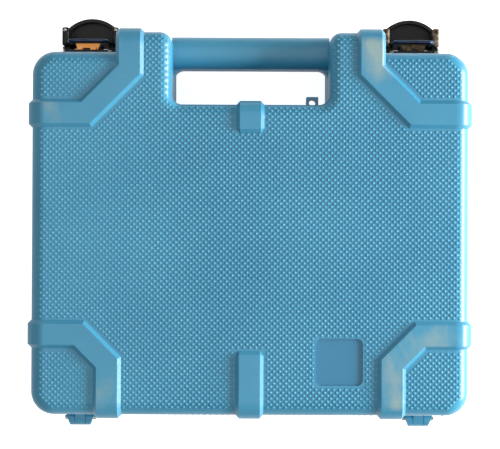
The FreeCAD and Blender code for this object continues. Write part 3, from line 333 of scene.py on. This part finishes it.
def wound_copper():
    """Enamelled copper wire wound side by side: fine rings with an amber glaze."""
    material, shader = new_material("enamelled_copper_winding", Metallic=1.0, Roughness=0.34)
    space = add(material, "ShaderNodeTexCoord")
    rings = add(material, "ShaderNodeTexWave", {"Vector": (space, "Object")},
                {"Scale": 1000 / 6, "Distortion": 0.4}, bands_direction="Z")
    feed(material, ramp(material, rings, "Fac", [(0.2, "#7A3A1C"), (0.8, "#C9743A")]), "Color",
         shader, "Base Color")
    bumped(material, shader, rings, "Fac", 0.15)
    return material


def seen_as_background(owner):
    """1 where a ray sees the background directly or through glass.

    Glossy rays see it fainter, so that steep blue walls don't turn white.
    """
    seen = add(owner, "ShaderNodeLightPath")
    mirrored = add(owner, "ShaderNodeMath",
                   {0: (seen, "Is Glossy Ray"), 2: (seen, "Is Camera Ray")}, {1: MIRRORED_SHARE},
                   operation="MULTIPLY_ADD")
    return add(owner, "ShaderNodeMath", {0: (mirrored, "Value"), 1: (seen, "Is Transmission Ray")},
               operation="ADD")


def pale_stage():
    """Matt white seamless sheet that shows as white and keeps the object's shadow."""
    material, shader = new_material("seamless_sheet", Roughness=0.9)
    space = add(material, "ShaderNodeTexCoord")
    fibres = speckle(material, space, 4.0, 3.0)
    feed(material, ramp(material, fibres, "Fac", [(0.3, "#F6F6F6"), (0.7, "#FAFAFA")]), "Color",
         shader, "Base Color")
    glow = add(material, "ShaderNodeEmission", None, {"Color": (1.0, 1.0, 1.0, 1.0)})
    strength = add(material, "ShaderNodeMath", {0: (seen_as_background(material), "Value")},
                   {1: FLOOR_GLOW}, operation="MULTIPLY")
    feed(material, strength, "Value", glow, "Strength")
    both = add(material, "ShaderNodeAddShader", {0: (shader, "BSDF"), 1: (glow, "Emission")})
    output = material.node_tree.nodes["Material Output"]
    feed(material, both, "Shader", output, "Surface")
    return material


POLYETHYLENE = moulded_polyethylene("blow_moulded_polyethylene", "#3B8AAC", "#4595B5")
# Painted highlight: the raised diamonds are a paler copy of the polyethylene, standing in for the
# light that their tips catch.
HIGHLIGHTED_TIPS = moulded_polyethylene("polyethylene_painted_highlight", "#4393B4", "#4F9FBE")
NYLON = glossy_nylon()
# Bright zinc plate on turned steel, with turning marks round the pin.
PLATED_STEEL = metal("zinc_plated_steel", "#A9A8A2", "#D2D2CE", 0.28, 5, (1.0, 6.0, 6.0))
# Drawn spring wire, blued and oiled, with marks along the wire.
BLUED_WIRE = metal("oiled_spring_wire", "#1D2735", "#43536B", 0.36, 3, (0.3, 3.0, 3.0))
# Stamped steel under yellow passivated zinc; the other latch's plate is the same zinc painted
# darker brown, as painted shade.
PASSIVATED_ZINC = metal("yellow_passivated_zinc", "#E8963F", "#FFC078", 0.5, 4)
SHADE_DARK_ZINC = metal("zinc_painted_shade", "#3B3127", "#6C5A47", 0.5, 3, rust="#2E2218")
# Brown steel tones with orange-brown specks for the right latch's posts: a painted reflection of
# the window light on them.
REFLECTION_BROWN_STEEL = metal("lever_steel_painted_reflection", "#564D44", "#A39584", 0.5, 3, rust="#6B3F22")
CHARCOAL_FOAM = foamed("charcoal_polyurethane_foam", "#1B1C1E", "#3A3C40")
# The scanner's plastics: satin ABS, silicone key, soft over-moulded grip, black sounder grille,
# polished lamp lens and the glossy shrink wrap of its cells.
SCANNER_SHELL = fine_plastic("light_grey_abs", "#C9CCCB", "#D9DBD9", 0.42, 0.7, 0.02)
SCANNER_KEY = fine_plastic("blue_silicone_key", "#1F5F8E", "#2A6F9F", 0.55, 0.8, 0.015)
SOFT_GRIP = fine_plastic("dark_soft_grip", "#2A2D31", "#383C41", 0.7, 0.8, 0.03)
SOUNDER_BLACK = fine_plastic("sounder_black", "#101112", "#1B1C1E", 0.5, 1.2, 0.02)
STATUS_LAMP = fine_plastic("green_lamp_lens", "#3E7F4B", "#5BA566", 0.2, 1.0, 0.005)
CELL_WRAP = fine_plastic("shrink_wrapped_cell", "#2E4E7A", "#3A5E8C", 0.3, 2.0, 0.01)
WINDOW = clear_window()
DISPLAY = liquid_crystal()
BOARD = board_laminate()
COPPER = wound_copper()

FINISHES = {
    "lower_shell": POLYETHYLENE, "upper_shell": POLYETHYLENE,
    "hinge_pin_left": PLATED_STEEL, "hinge_pin_right": PLATED_STEEL,
    "latch_pivot_pin_left": PLATED_STEEL, "latch_pivot_pin_right": PLATED_STEEL,
    "latch_lever_left": NYLON, "latch_lever_right": NYLON,
    "latch_keeper_left": NYLON, "latch_keeper_right": NYLON,
    "latch_bail_left": BLUED_WIRE, "latch_bail_right": BLUED_WIRE,
    # The right strike and its rivets take the darker zinc, a painted shade.
    "latch_strike_left": PASSIVATED_ZINC, "latch_strike_right": SHADE_DARK_ZINC,
    "strike_rivets_left": PLATED_STEEL, "strike_rivets_right": SHADE_DARK_ZINC,
    "scanner_lower_housing": SCANNER_SHELL, "scanner_upper_housing": SCANNER_SHELL,
    "scanner_battery_door": SCANNER_SHELL, "scan_button": SCANNER_KEY,
    "scanner_display_window": WINDOW, "scanner_display": DISPLAY,
    "scanner_circuit_board": BOARD, "scanner_antenna_coil": COPPER,
    "scanner_buzzer": SOUNDER_BLACK, "scanner_battery_cells": CELL_WRAP,
    "scanner_housing_screws": PLATED_STEEL,
}

for name, finish in FINISHES.items():
    mesh = nodes[name].data
    mesh.materials.clear()
    mesh.materials.append(finish)


# ---------------------------------------------------------------- making pieces

def piece(name, verts, faces, finish, body, slot):
    """A smooth-shaded mesh piece, its corners in metres, that rides on a body."""
    mesh = bpy.data.meshes.new(name)
    mesh.from_pydata(verts, [], faces)
    mesh.materials.append(finish)
    mesh.polygons.foreach_set("use_smooth", [True] * len(mesh.polygons))
    mesh.update()
    obj = bpy.data.objects.new(name, mesh)
    scene.collection.objects.link(obj)
    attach(obj, body)
    return obj


def near_line(x, y, line, reach):
    """Whether a point is nearer than reach to a broken line."""
    for (ax, ay), (bx, by) in zip(line, line[1:]):
        dx, dy = bx - ax, by - ay
        t = max(0.0, min(1.0, ((x - ax) * dx + (y - ay) * dy) / (dx * dx + dy * dy)))
        if math.hypot(x - ax - t * dx, y - ay - t * dy) < reach:
            return True
    return False


def smooth_zone(x, body_y, on_lid):
    """Whether a place on a face carries no grip texture."""
    if any(near_line(x, body_y, line, STRAP_HALF + STRAP_CLEAR) for line in STRAP_LINES):
        return True
    if abs(x) < STRAP_HALF + STRAP_CLEAR and (body_y > TAB_END or body_y < FOOT_END):
        return True
    if abs(x) < GRIP_HALF + 1.0 and body_y > GRIP_LOW - 1.0:
        return True
    if abs(abs(x) - HINGE_X) < HINGE_HALF and body_y < -BODY_HALF_Y:
        return True
    return on_lid and max(abs(x - PANEL_X), abs(body_y - PANEL_Y)) < PANEL_HALF + 1.2


def grip_points(node, on_lid):
    """Places and directions of the raised diamonds, found on the moulding itself."""
    mesh = nodes[node].data
    tree = BVHTree.FromPolygons([v.co for v in mesh.vertices], [p.vertices for p in mesh.polygons])
    out = 1 if on_lid else -1
    flattest, flattest_cheek = 0.93, 0.6      # how level a place has to lie, 1 is level
    above, beside_x, beside_y = 60, 155, 145  # where the looks start, outside the case
    found = []
    # The big face, looked at from outside.
    rows = int(140 / GRIP_PITCH_Y)
    columns = int(150 / GRIP_PITCH_X)
    for row in range(-rows, rows + 1):
        for column in range(-columns, columns + 1):
            x = column * GRIP_PITCH_X + (GRIP_PITCH_X / 2 if row % 2 else 0.0)
            body_y = row * GRIP_PITCH_Y
            if smooth_zone(x, body_y, on_lid):
                continue
            start = Vector(mm(x, body_y + BODY_SHIFT, PARTING + out * above))
            place, normal, _, _ = tree.ray_cast(start, Vector((0, 0, -out)))
            on_cheek = abs(x) < GRIP_HALF + CHEEK_REACH and body_y > GRIP_LOW - CHEEK_REACH
            needed = flattest_cheek if on_cheek else flattest
            if place is None or normal.z * out < needed or (place.z * 1000 - PARTING) * out < 30:
                continue
            found.append((place, normal, Vector((1, 0, 0))))
    # The four side walls, row by row from just beside the parting plane to the rolled edge.
    for level in range(2, int((HALF_DEPTH - EDGE_ROLL + 2) / GRIP_PITCH_Y)):
        z = PARTING + out * (level * GRIP_PITCH_Y + 1.0)
        for step in range(-GRIP_SIDE_STEPS, GRIP_SIDE_STEPS + 1):
            along = step * GRIP_PITCH_X + (GRIP_PITCH_X / 2 if level % 2 else 0.0)
            for direction in (Vector((1, 0, 0)), Vector((-1, 0, 0)),
                              Vector((0, -1, 0)), Vector((0, 1, 0))):
                sideways = abs(direction.x) > 0.5
                x = direction.x * beside_x if sideways else along
                body_y = along if sideways else direction.y * beside_y
                edge_x = direction.x * BODY_HALF_X if sideways else along
                edge_y = along if sideways else direction.y * BODY_HALF_Y
                if smooth_zone(edge_x, edge_y, on_lid):
                    continue
                if direction.y < -0.5 and abs(abs(x) - HINGE_X) < HINGE_HALF:
                    continue
                if direction.y > 0.5 and abs(x) < LATCH_X + LATCH_HALF:
                    continue
                start = Vector(mm(x, body_y + BODY_SHIFT, z))
                place, normal, _, _ = tree.ray_cast(start, -direction)
                if place is None or normal.dot(direction) < flattest:
                    continue
                if sideways and abs(place.x) * 1000 < BODY_HALF_X - 4:
                    continue
                found.append((place, normal, direction.cross(Vector((0, 0, 1)))))
    return found


def grip_texture(name, node, on_lid, body):
    """Raised rounded diamonds, each closed underneath and sunk a little in the wall."""
    half, mid, sunk, height = mm(GRIP_WIDE / 2), mm(0.82), mm(0.06), mm(GRIP_TALL)
    quarter = math.pi / 2
    verts, faces = [], []
    for place, normal, along in grip_points(node, on_lid):
        across = normal.cross(along).normalized()
        along = across.cross(normal).normalized()
        base = len(verts)
        # The mould is polished flatter towards the left side.
        tall = height * min(1.0, max(0.5, (place.x * 1000 + 175) / 150))
        for turn in range(4):
            spoke = along * math.cos(turn * quarter) + across * math.sin(turn * quarter)
            verts.append(place - normal * sunk + spoke * half)
            verts.append(place + normal * tall * 0.72 + spoke * mid)
        verts.append(place + normal * tall)
        for turn in range(4):
            a, b = base + 2 * turn, base + 2 * ((turn + 1) % 4)
            faces.append((a, b, b + 1, a + 1))
            faces.append((a + 1, b + 1, base + 8))
        faces.append((base + 6, base + 4, base + 2, base))
    # The diamonds take the paler copy of the polyethylene, a painted highlight.
    return piece(name, verts, faces, HIGHLIGHTED_TIPS, body, "case_shell")


grip_texture("lid_grip_texture", "upper_shell", True, "lid")
grip_texture("base_grip_texture", "lower_shell", False, "base")


# ---------------------------------------------------------------- latch details

def corners_and_faces(work):
    """The shape of a bmesh as lists, in an order that is the same each run; frees the bmesh."""
    ordered = sorted(work.verts, key=lambda corner: tuple(corner.co))
    number = {corner: place for place, corner in enumerate(ordered)}
    verts = [corner.co.copy() for corner in ordered]
    faces = sorted([number[corner] for corner in face.verts] for face in work.faces)
    work.free()
    return verts, faces


def soft_blocks(name, boxes, edge_mm, finish, body, slot):
    """Blocks with rounded edges, each given by its low and high corner in mm."""
    work = bmesh.new()
    for low, high in boxes:
        low, high = Vector(low), Vector(high)
        stretch = Matrix.Diagonal((*mm(*(high - low)), 1.0))
        place = Matrix.Translation(mm(*((low + high) / 2))) @ stretch
        corners = bmesh.ops.create_cube(work, size=1.0, matrix=place)["verts"]
        edges = list(dict.fromkeys(edge for corner in corners for edge in corner.link_edges))
        bmesh.ops.bevel(work, geom=edges, offset=mm(edge_mm), segments=3, profile=0.5,
                        affect="EDGES")
    return piece(name, *corners_and_faces(work), finish, body, slot)


def domes(name, places, radius_mm, height_mm, finish, body, slot):
    """Domed pin heads, rounded on both sides and half sunk, at places in mm."""
    work = bmesh.new()
    stretch = Matrix.Diagonal((*mm(radius_mm, radius_mm, height_mm), 1.0))
    for place in places:
        bmesh.ops.create_uvsphere(work, u_segments=20, v_segments=10, radius=1.0,
                                  matrix=Matrix.Translation(mm(*place)) @ stretch)
    return piece(name, *corners_and_faces(work), finish, body, slot)


# What each latch's side posts and their pin heads are made of: the right latch's posts carry a
# painted reflection in brown steel, its pin heads the darker zinc of painted shade.
LATCH_FINISHES = {"left": (NYLON, PLATED_STEEL), "right": (REFLECTION_BROWN_STEEL, SHADE_DARK_ZINC)}
LEVER_GAP = 0.6                             # lever from the latch wall, mm
POST_IN, POST_OUT = 3.0, 1.6                # post sunk in the lever's side, and proud of it
POST_Y, POST_Z = (8.6, 21.3), (31.0, 42.4)  # post from the latch wall, and its heights
PIN_HEAD = (0.3, 19.2, 42.5)                # pin head from the post's middle, from the wall, height
NOTCH_SHADE_HALF, NOTCH_SHADE_Y, NOTCH_SHADE_Z = 2.9, (2.8, 5.0), (55.6, 59.0)     # black block filling the strike's notch: painted shade
EAR_X, EAR_HALF, BUSH_HALF = 6.6, 2.3, 4.4  # ears from the latch's middle; half their bushes


def latch_details(word, post_finish, head_finish):
    """Posts and pin heads on the lever, a black block in the strike's notch on the lid as painted
    shade, bushes on the base.
    """
    lever_low, lever_high = (corner * 1000 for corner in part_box(f"latch_lever_{word}"))
    wall_y = lever_low.y - LEVER_GAP
    middle = (lever_low.x + lever_high.x) / 2
    # The posts stay clear of the pivot pin's heads.
    posts, heads = [], []
    for side_x, sign in ((lever_low.x, -1), (lever_high.x, 1)):
        inner, outer = side_x - POST_IN * sign, side_x + POST_OUT * sign
        posts.append(((min(inner, outer), wall_y + POST_Y[0], POST_Z[0]),
                      (max(inner, outer), wall_y + POST_Y[1], POST_Z[1])))
        heads.append(((inner + outer) / 2 + PIN_HEAD[0] * sign, wall_y + PIN_HEAD[1], PIN_HEAD[2]))
    soft_blocks(f"latch_lever_posts_{word}", posts, 1.1, post_finish, f"lever_{word}",
                "latch_black")
    domes(f"latch_post_pins_{word}", heads, 1.2, 0.8, head_finish, f"lever_{word}", "pin_steel")
    # Painted shade: a black nylon block fills the strike's notch, where shade falls.
    notch_shade_box = ((middle - NOTCH_SHADE_HALF, wall_y + NOTCH_SHADE_Y[0], NOTCH_SHADE_Z[0]),
           (middle + NOTCH_SHADE_HALF, wall_y + NOTCH_SHADE_Y[1], NOTCH_SHADE_Z[1]))
    soft_blocks(f"latch_notch_shade_block_{word}", [notch_shade_box], 0.5, NYLON, "lid", "latch_black")
    # Bushes round the ears that carry the lever's pivot pin.
    pivot_y, pivot_z = wall_y + PIVOT_OUT, PARTING - PIVOT_BELOW
    bushes = [((middle + sign * EAR_X - EAR_HALF, wall_y + 0.3, pivot_z - BUSH_HALF),
               (middle + sign * EAR_X + EAR_HALF, pivot_y + BUSH_HALF, pivot_z + BUSH_HALF))
              for sign in (-1, 1)]
    soft_blocks(f"latch_ear_bushes_{word}", bushes, 1.5, NYLON, "base", "latch_black")


for word, finishes in LATCH_FINISHES.items():
    latch_details(word, *finishes)


# ---------------------------------------------------------------- foam

CONVOLUTION, PEAK_HALF = 34, 5.5      # foam peaks from one to the next, and half their height, mm
FOAM_ROUND = 8.0                      # corners of a slab in plan, mm


def foam_slab(name, node, body, low_wave, high_wave, step_mm=2.6):
    """A closed slab of foam in a node's space whose faces follow wave functions of x, y in mm."""
    low, high = (corner * 1000 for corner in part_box(node))
    across, along = high.x - low.x, high.y - low.y
    columns, rows = round(across / step_mm), round(along / step_mm)
    verts, faces, index = [], [], {}
    for layer, wave in enumerate((low_wave, high_wave)):
        for j in range(rows + 1):
            for i in range(columns + 1):
                u, v = i / columns, j / rows
                x, y = low.x + u * across, low.y + v * along
                # Corners are pulled in to a round.
                dx = max(0.0, FOAM_ROUND - min(x - low.x, high.x - x))
                dy = max(0.0, FOAM_ROUND - min(y - low.y, high.y - y))
                if dx > 0 and dy > 0:
                    far = max(dx, dy)
                    shrink = far / math.hypot(dx, dy)
                    x += math.copysign(dx * (1 - shrink), -x + (low.x + high.x) / 2)
                    y += math.copysign(dy * (1 - shrink), -y + (low.y + high.y) / 2)
                near_edge = min(x - low.x, high.x - x, y - low.y, high.y - y)
                ease = min(1.0, near_edge / 2.0)
                base_z = low.z if layer == 0 else high.z
                sign = 1 if layer == 0 else -1
                z = base_z + sign * (wave(x, y) + 1.2 * (1 - ease) ** 2)
                index[layer, i, j] = len(verts)
                verts.append(mm(x, y, z))
    for j in range(rows):
        for i in range(columns):
            a, b = index[0, i, j], index[0, i + 1, j]
            c, d = index[0, i + 1, j + 1], index[0, i, j + 1]
            faces.append((a, d, c, b))
            a, b = index[1, i, j], index[1, i + 1, j]
            c, d = index[1, i + 1, j + 1], index[1, i, j + 1]
            faces.append((a, b, c, d))
    for i in range(columns):
        faces.append((index[0, i, 0], index[0, i + 1, 0], index[1, i + 1, 0], index[1, i, 0]))
        faces.append((index[0, i + 1, rows], index[0, i, rows],
                      index[1, i, rows], index[1, i + 1, rows]))
    for j in range(rows):
        faces.append((index[0, 0, j + 1], index[0, 0, j], index[1, 0, j], index[1, 0, j + 1]))
        faces.append((index[0, columns, j], index[0, columns, j + 1],
                      index[1, columns, j + 1], index[1, columns, j]))
    obj = piece(name, verts, faces, CHARCOAL_FOAM, body, "foam_dark")
    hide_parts(node)
    return obj


def egg_crate(x, y):
    """Convoluted foam: rounded peaks and valleys between, 0 at a peak."""
    wave = (math.cos(2 * math.pi * x / CONVOLUTION)
            * math.cos(2 * math.pi * (y + 27) / CONVOLUTION))
    return PEAK_HALF * (1 - wave)


def flat_skin(x, y):
    """The plain skin of a foam slab."""
    return 0.0


def soft_skin(x, y):
    """A slight unevenness of cut foam."""
    return 0.25 + 0.2 * math.sin(x / 17.0) * math.cos(y / 13.0)


foam_slab("convoluted_lid_foam", "lid_foam", "lid", egg_crate, flat_skin)
foam_slab("base_pad_foam", "foam_base_pad", "base", flat_skin, soft_skin, step_mm=6.0)


def top_outlines(node):
    """Outlines of the flat top of a node, in order along each edge, as (x, y) in metres."""
    mesh = nodes[node].data
    top = max(v.co.z for v in mesh.vertices)
    uses, places = {}, {}
    for polygon in mesh.polygons:
        corners = [mesh.vertices[i].co for i in polygon.vertices]
        if all(abs(co.z - top) < 1e-6 for co in corners):
            keys = [(round(co.x, 6), round(co.y, 6)) for co in corners]
            for a, b in zip(keys, keys[1:] + keys[:1]):
                uses[frozenset((a, b))] = uses.get(frozenset((a, b)), 0) + 1
    for edge, count in uses.items():
        if count == 1:
            a, b = edge
            places.setdefault(a, []).append(b)
            places.setdefault(b, []).append(a)
    loops = []
    while places:
        start = min(places)
        loop, last, here = [start], None, start
        while True:
            following = [p for p in places[here] if p != last]
            last, here = here, following[0]
            if here == start:
                break
            loop.append(here)
        for place in loop:
            del places[place]
        loops.append(loop)
    return loops


def from_curve(name, splines, closed, finish, body, slot, flat=None, **settings):
    """A piece made from a bevelled curve: tubes in space, or a filled plan that is extruded."""
    curve = bpy.data.curves.new(name, "CURVE")
    curve.dimensions = "2D" if flat is not None else "3D"
    for points in splines:
        spline = curve.splines.new("POLY")
        spline.points.add(len(points) - 1)
        for target, place in zip(spline.points, points):
            target.co = (*place, 0.0, 1.0) if len(place) == 2 else (*place, 1.0)
        spline.use_cyclic_u = closed
    for setting, value in settings.items():
        setattr(curve, setting, value)
    holder = bpy.data.objects.new(name + "_curve", curve)
    scene.collection.objects.link(holder)
    bpy.context.view_layer.update()
    graph = bpy.context.evaluated_depsgraph_get()
    mesh = bpy.data.meshes.new_from_object(holder.evaluated_get(graph))
    bpy.data.objects.remove(holder)
    if flat is not None:
        mesh.transform(Matrix.Translation((0, 0, flat)))
    work = bmesh.new()
    work.from_mesh(mesh)
    bmesh.ops.remove_doubles(work, verts=work.verts, dist=1e-6)
    bmesh.ops.recalc_face_normals(work, faces=work.faces)
    work.to_mesh(mesh)
    work.free()
    mesh.materials.clear()
    mesh.materials.append(finish)
    mesh.polygons.foreach_set("use_smooth", [True] * len(mesh.polygons))
    mesh.set_sharp_from_angle(angle=math.radians(40))
    obj = bpy.data.objects.new(name, mesh)
    scene.collection.objects.link(obj)
    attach(obj, body)
    return obj


foam_low, foam_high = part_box("foam_block")
foam_edge = mm(1.6)
cut_foam = from_curve("die_cut_foam_block", top_outlines("foam_block"), True, CHARCOAL_FOAM,
                      "base", "foam_dark", flat=(foam_low.z + foam_high.z) / 2, fill_mode="BOTH",
                      bevel_depth=foam_edge, bevel_resolution=3, offset=-foam_edge,
                      extrude=(foam_high.z - foam_low.z) / 2 - foam_edge)
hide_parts("foam_block")

# ---------------------------------------------------------------- scanner details

window_low, window_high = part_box("scanner_display_window")
button_low, button_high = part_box("scan_button")
scanner_mid = (window_low.y + window_high.y) / 2
scanner_face = mm(SCANNER_FACE)


def soft_rectangle(middle_x, middle_y, half_x, half_y, corner, z, steps=8):
    """Rounded rectangle as points in metres, at a height; lengths are in metres too."""
    points = []
    for quarter in range(4):
        sign_x = 1 if quarter in (0, 3) else -1
        sign_y = 1 if quarter in (0, 1) else -1
        for step in range(steps + 1):
            turn = math.radians(90 * (quarter + step / steps))
            points.append((middle_x + sign_x * (half_x - corner) + corner * math.cos(turn),
                           middle_y + sign_y * (half_y - corner) + corner * math.sin(turn), z))
    return points


def ring(name, outline, radius, finish, slot):
    """A round bead along a closed outline on the scanner's face."""
    return from_curve(name, [outline], True, finish, "base", slot, bevel_depth=radius,
                      bevel_resolution=3, fill_mode="FULL")


ring("scanner_head_bead",
     soft_rectangle(mm(HEAD_X), scanner_mid, mm(HEAD_HALF_X), mm(HEAD_HALF_Y), mm(HEAD_ROUND),
                    scanner_face),
     mm(1.1), SOFT_GRIP, "scanner_button")
window_mid = (window_low + window_high) / 2
ring("scanner_window_bezel",
     soft_rectangle(window_mid.x, window_mid.y, (window_high.x - window_low.x) / 2 + mm(1.6),
                    (window_high.y - window_low.y) / 2 + mm(1.6), mm(3.0), scanner_face),
     mm(1.0), SOFT_GRIP, "scanner_button")
button_mid = (button_low + button_high) / 2
button_out = mm(BUTTON_COLLAR)
ring("scan_button_collar",
     soft_rectangle(button_mid.x, button_mid.y, button_out, button_out, button_out, scanner_face),
     mm(0.8), SCANNER_SHELL, "scanner_body")


def soft_bars(name, places, half_x, half_y, height, finish, slot):
    """Rounded bars, closed underneath, on the scanner's face at (x, y) places in metres."""
    rings = ((1.0, -0.1), (1.0, 0.45), (0.86, 0.85), (0.6, 1.0))     # width and level of each ring
    steps = 16
    verts, faces = [], []
    for x, y in places:
        base = len(verts)
        for share, level in rings:
            for step in range(steps):
                turn = 2 * math.pi * step / steps
                reach = min(half_x, half_y)
                shrink = reach * (1 - share)
                side, end = math.cos(turn), math.sin(turn)
                px = math.copysign(half_x - reach, side) + (reach - shrink) * side
                py = math.copysign(half_y - reach, end) + (reach - shrink) * end
                verts.append((x + px, y + py, scanner_face + height * level))
        for layer in range(len(rings) - 1):
            for step in range(steps):
                a = base + layer * steps + step
                b = base + layer * steps + (step + 1) % steps
                faces.append((a, b, b + steps, a + steps))
        faces.append(tuple(base + (len(rings) - 1) * steps + step for step in range(steps)))
        faces.append(tuple(base + step for step in reversed(range(steps))))
    return piece(name, verts, faces, finish, "base", slot)


grip_places = [(mm(-12 + 5.2 * k), scanner_mid + side * mm(19.3))
               for side in (-1, 1) for k in range(16)]
slot_places = [(mm(66 + 2.6 * k), scanner_mid) for k in range(4)]
lamp_places = [(mm(31.5), scanner_mid + offset * mm(6)) for offset in (-1, 0, 1)]
soft_bars("scanner_grip_ribs", grip_places, mm(1.2), mm(2.9), mm(0.8), SOFT_GRIP, "scanner_button")
soft_bars("scanner_sounder_slots", slot_places, mm(0.55), mm(7.0), mm(0.12), SOUNDER_BLACK,
          "buzzer_black")
soft_bars("scanner_status_lamps", lamp_places, mm(1.3), mm(1.3), mm(0.7), STATUS_LAMP,
          "window_clear")


# ---------------------------------------------------------------- stage and light, in metres

def lay_floor(reach):
    """A square white floor just under the case."""
    verts = [(-reach, -reach, 0), (reach, -reach, 0), (reach, reach, 0), (-reach, reach, 0)]
    mesh = bpy.data.meshes.new("floor")
    mesh.from_pydata(verts, [], [(0, 1, 2, 3)])
    mesh.materials.append(pale_stage())
    floor = bpy.data.objects.new("floor", mesh)
    floor.location.z = mm(-0.05)
    scene.collection.objects.link(floor)


def soft_lamp(name, place, target, width, height, power):
    """A rectangular soft box of white light aimed at a point."""
    lamp = bpy.data.lights.new(name, "AREA")
    lamp.shape = "RECTANGLE"
    lamp.size, lamp.size_y = width, height
    lamp.energy = power
    obj = bpy.data.objects.new(name, lamp)
    obj.location = place
    obj.rotation_euler = (Vector(target) - Vector(place)).to_track_quat("-Z", "Y").to_euler()
    scene.collection.objects.link(obj)


lay_floor(3.0)
soft_lamp("window_light", (1.2, -0.02, 0.42), (0, 0, 0.06), 1.0, 0.5, 36.0)
soft_lamp("ceiling_light", (-0.1, 0.2, 1.7), (0, 0, 0), 1.4, 1.4, 4.0)

world = bpy.data.worlds.new("room")
scene.world = world
world.use_nodes = True
backdrop = world.node_tree.nodes["Background"]
backdrop.inputs["Color"].default_value = colour("#FFFFFF")
# The room gives soft light but shows as white.
strength = add(world, "ShaderNodeMath", {0: (seen_as_background(world), "Value")},
               {1: 1.0 - ROOM_LIGHT, 2: ROOM_LIGHT}, operation="MULTIPLY_ADD")
feed(world, strength, "Value", backdrop, "Strength")


# ---------------------------------------------------------------- camera, square on to the lid

AIM = Vector(mm(0.0, BODY_SHIFT + 6.0, 86.9))     # on the lid's face
DISTANCE, VIEW_WIDTH = 1.10, 0.3335               # to the aim, and the frame's width there, metres
TILT, ROLL = math.radians(0.5), math.radians(0.25)
SENSOR = 36.0                                     # sensor width, mm

camera_data = bpy.data.cameras.new("camera")
camera_data.sensor_width = SENSOR
camera_data.lens = SENSOR * DISTANCE / VIEW_WIDTH
camera = bpy.data.objects.new("camera", camera_data)
camera.location = AIM + Vector((0, -math.sin(TILT), math.cos(TILT))) * DISTANCE
camera.rotation_euler = (Matrix.Rotation(TILT, 3, "X") @ Matrix.Rotation(ROLL, 3, "Z")).to_euler()
scene.collection.objects.link(camera)
scene.camera = camera

scene.view_settings.view_transform = "Standard"
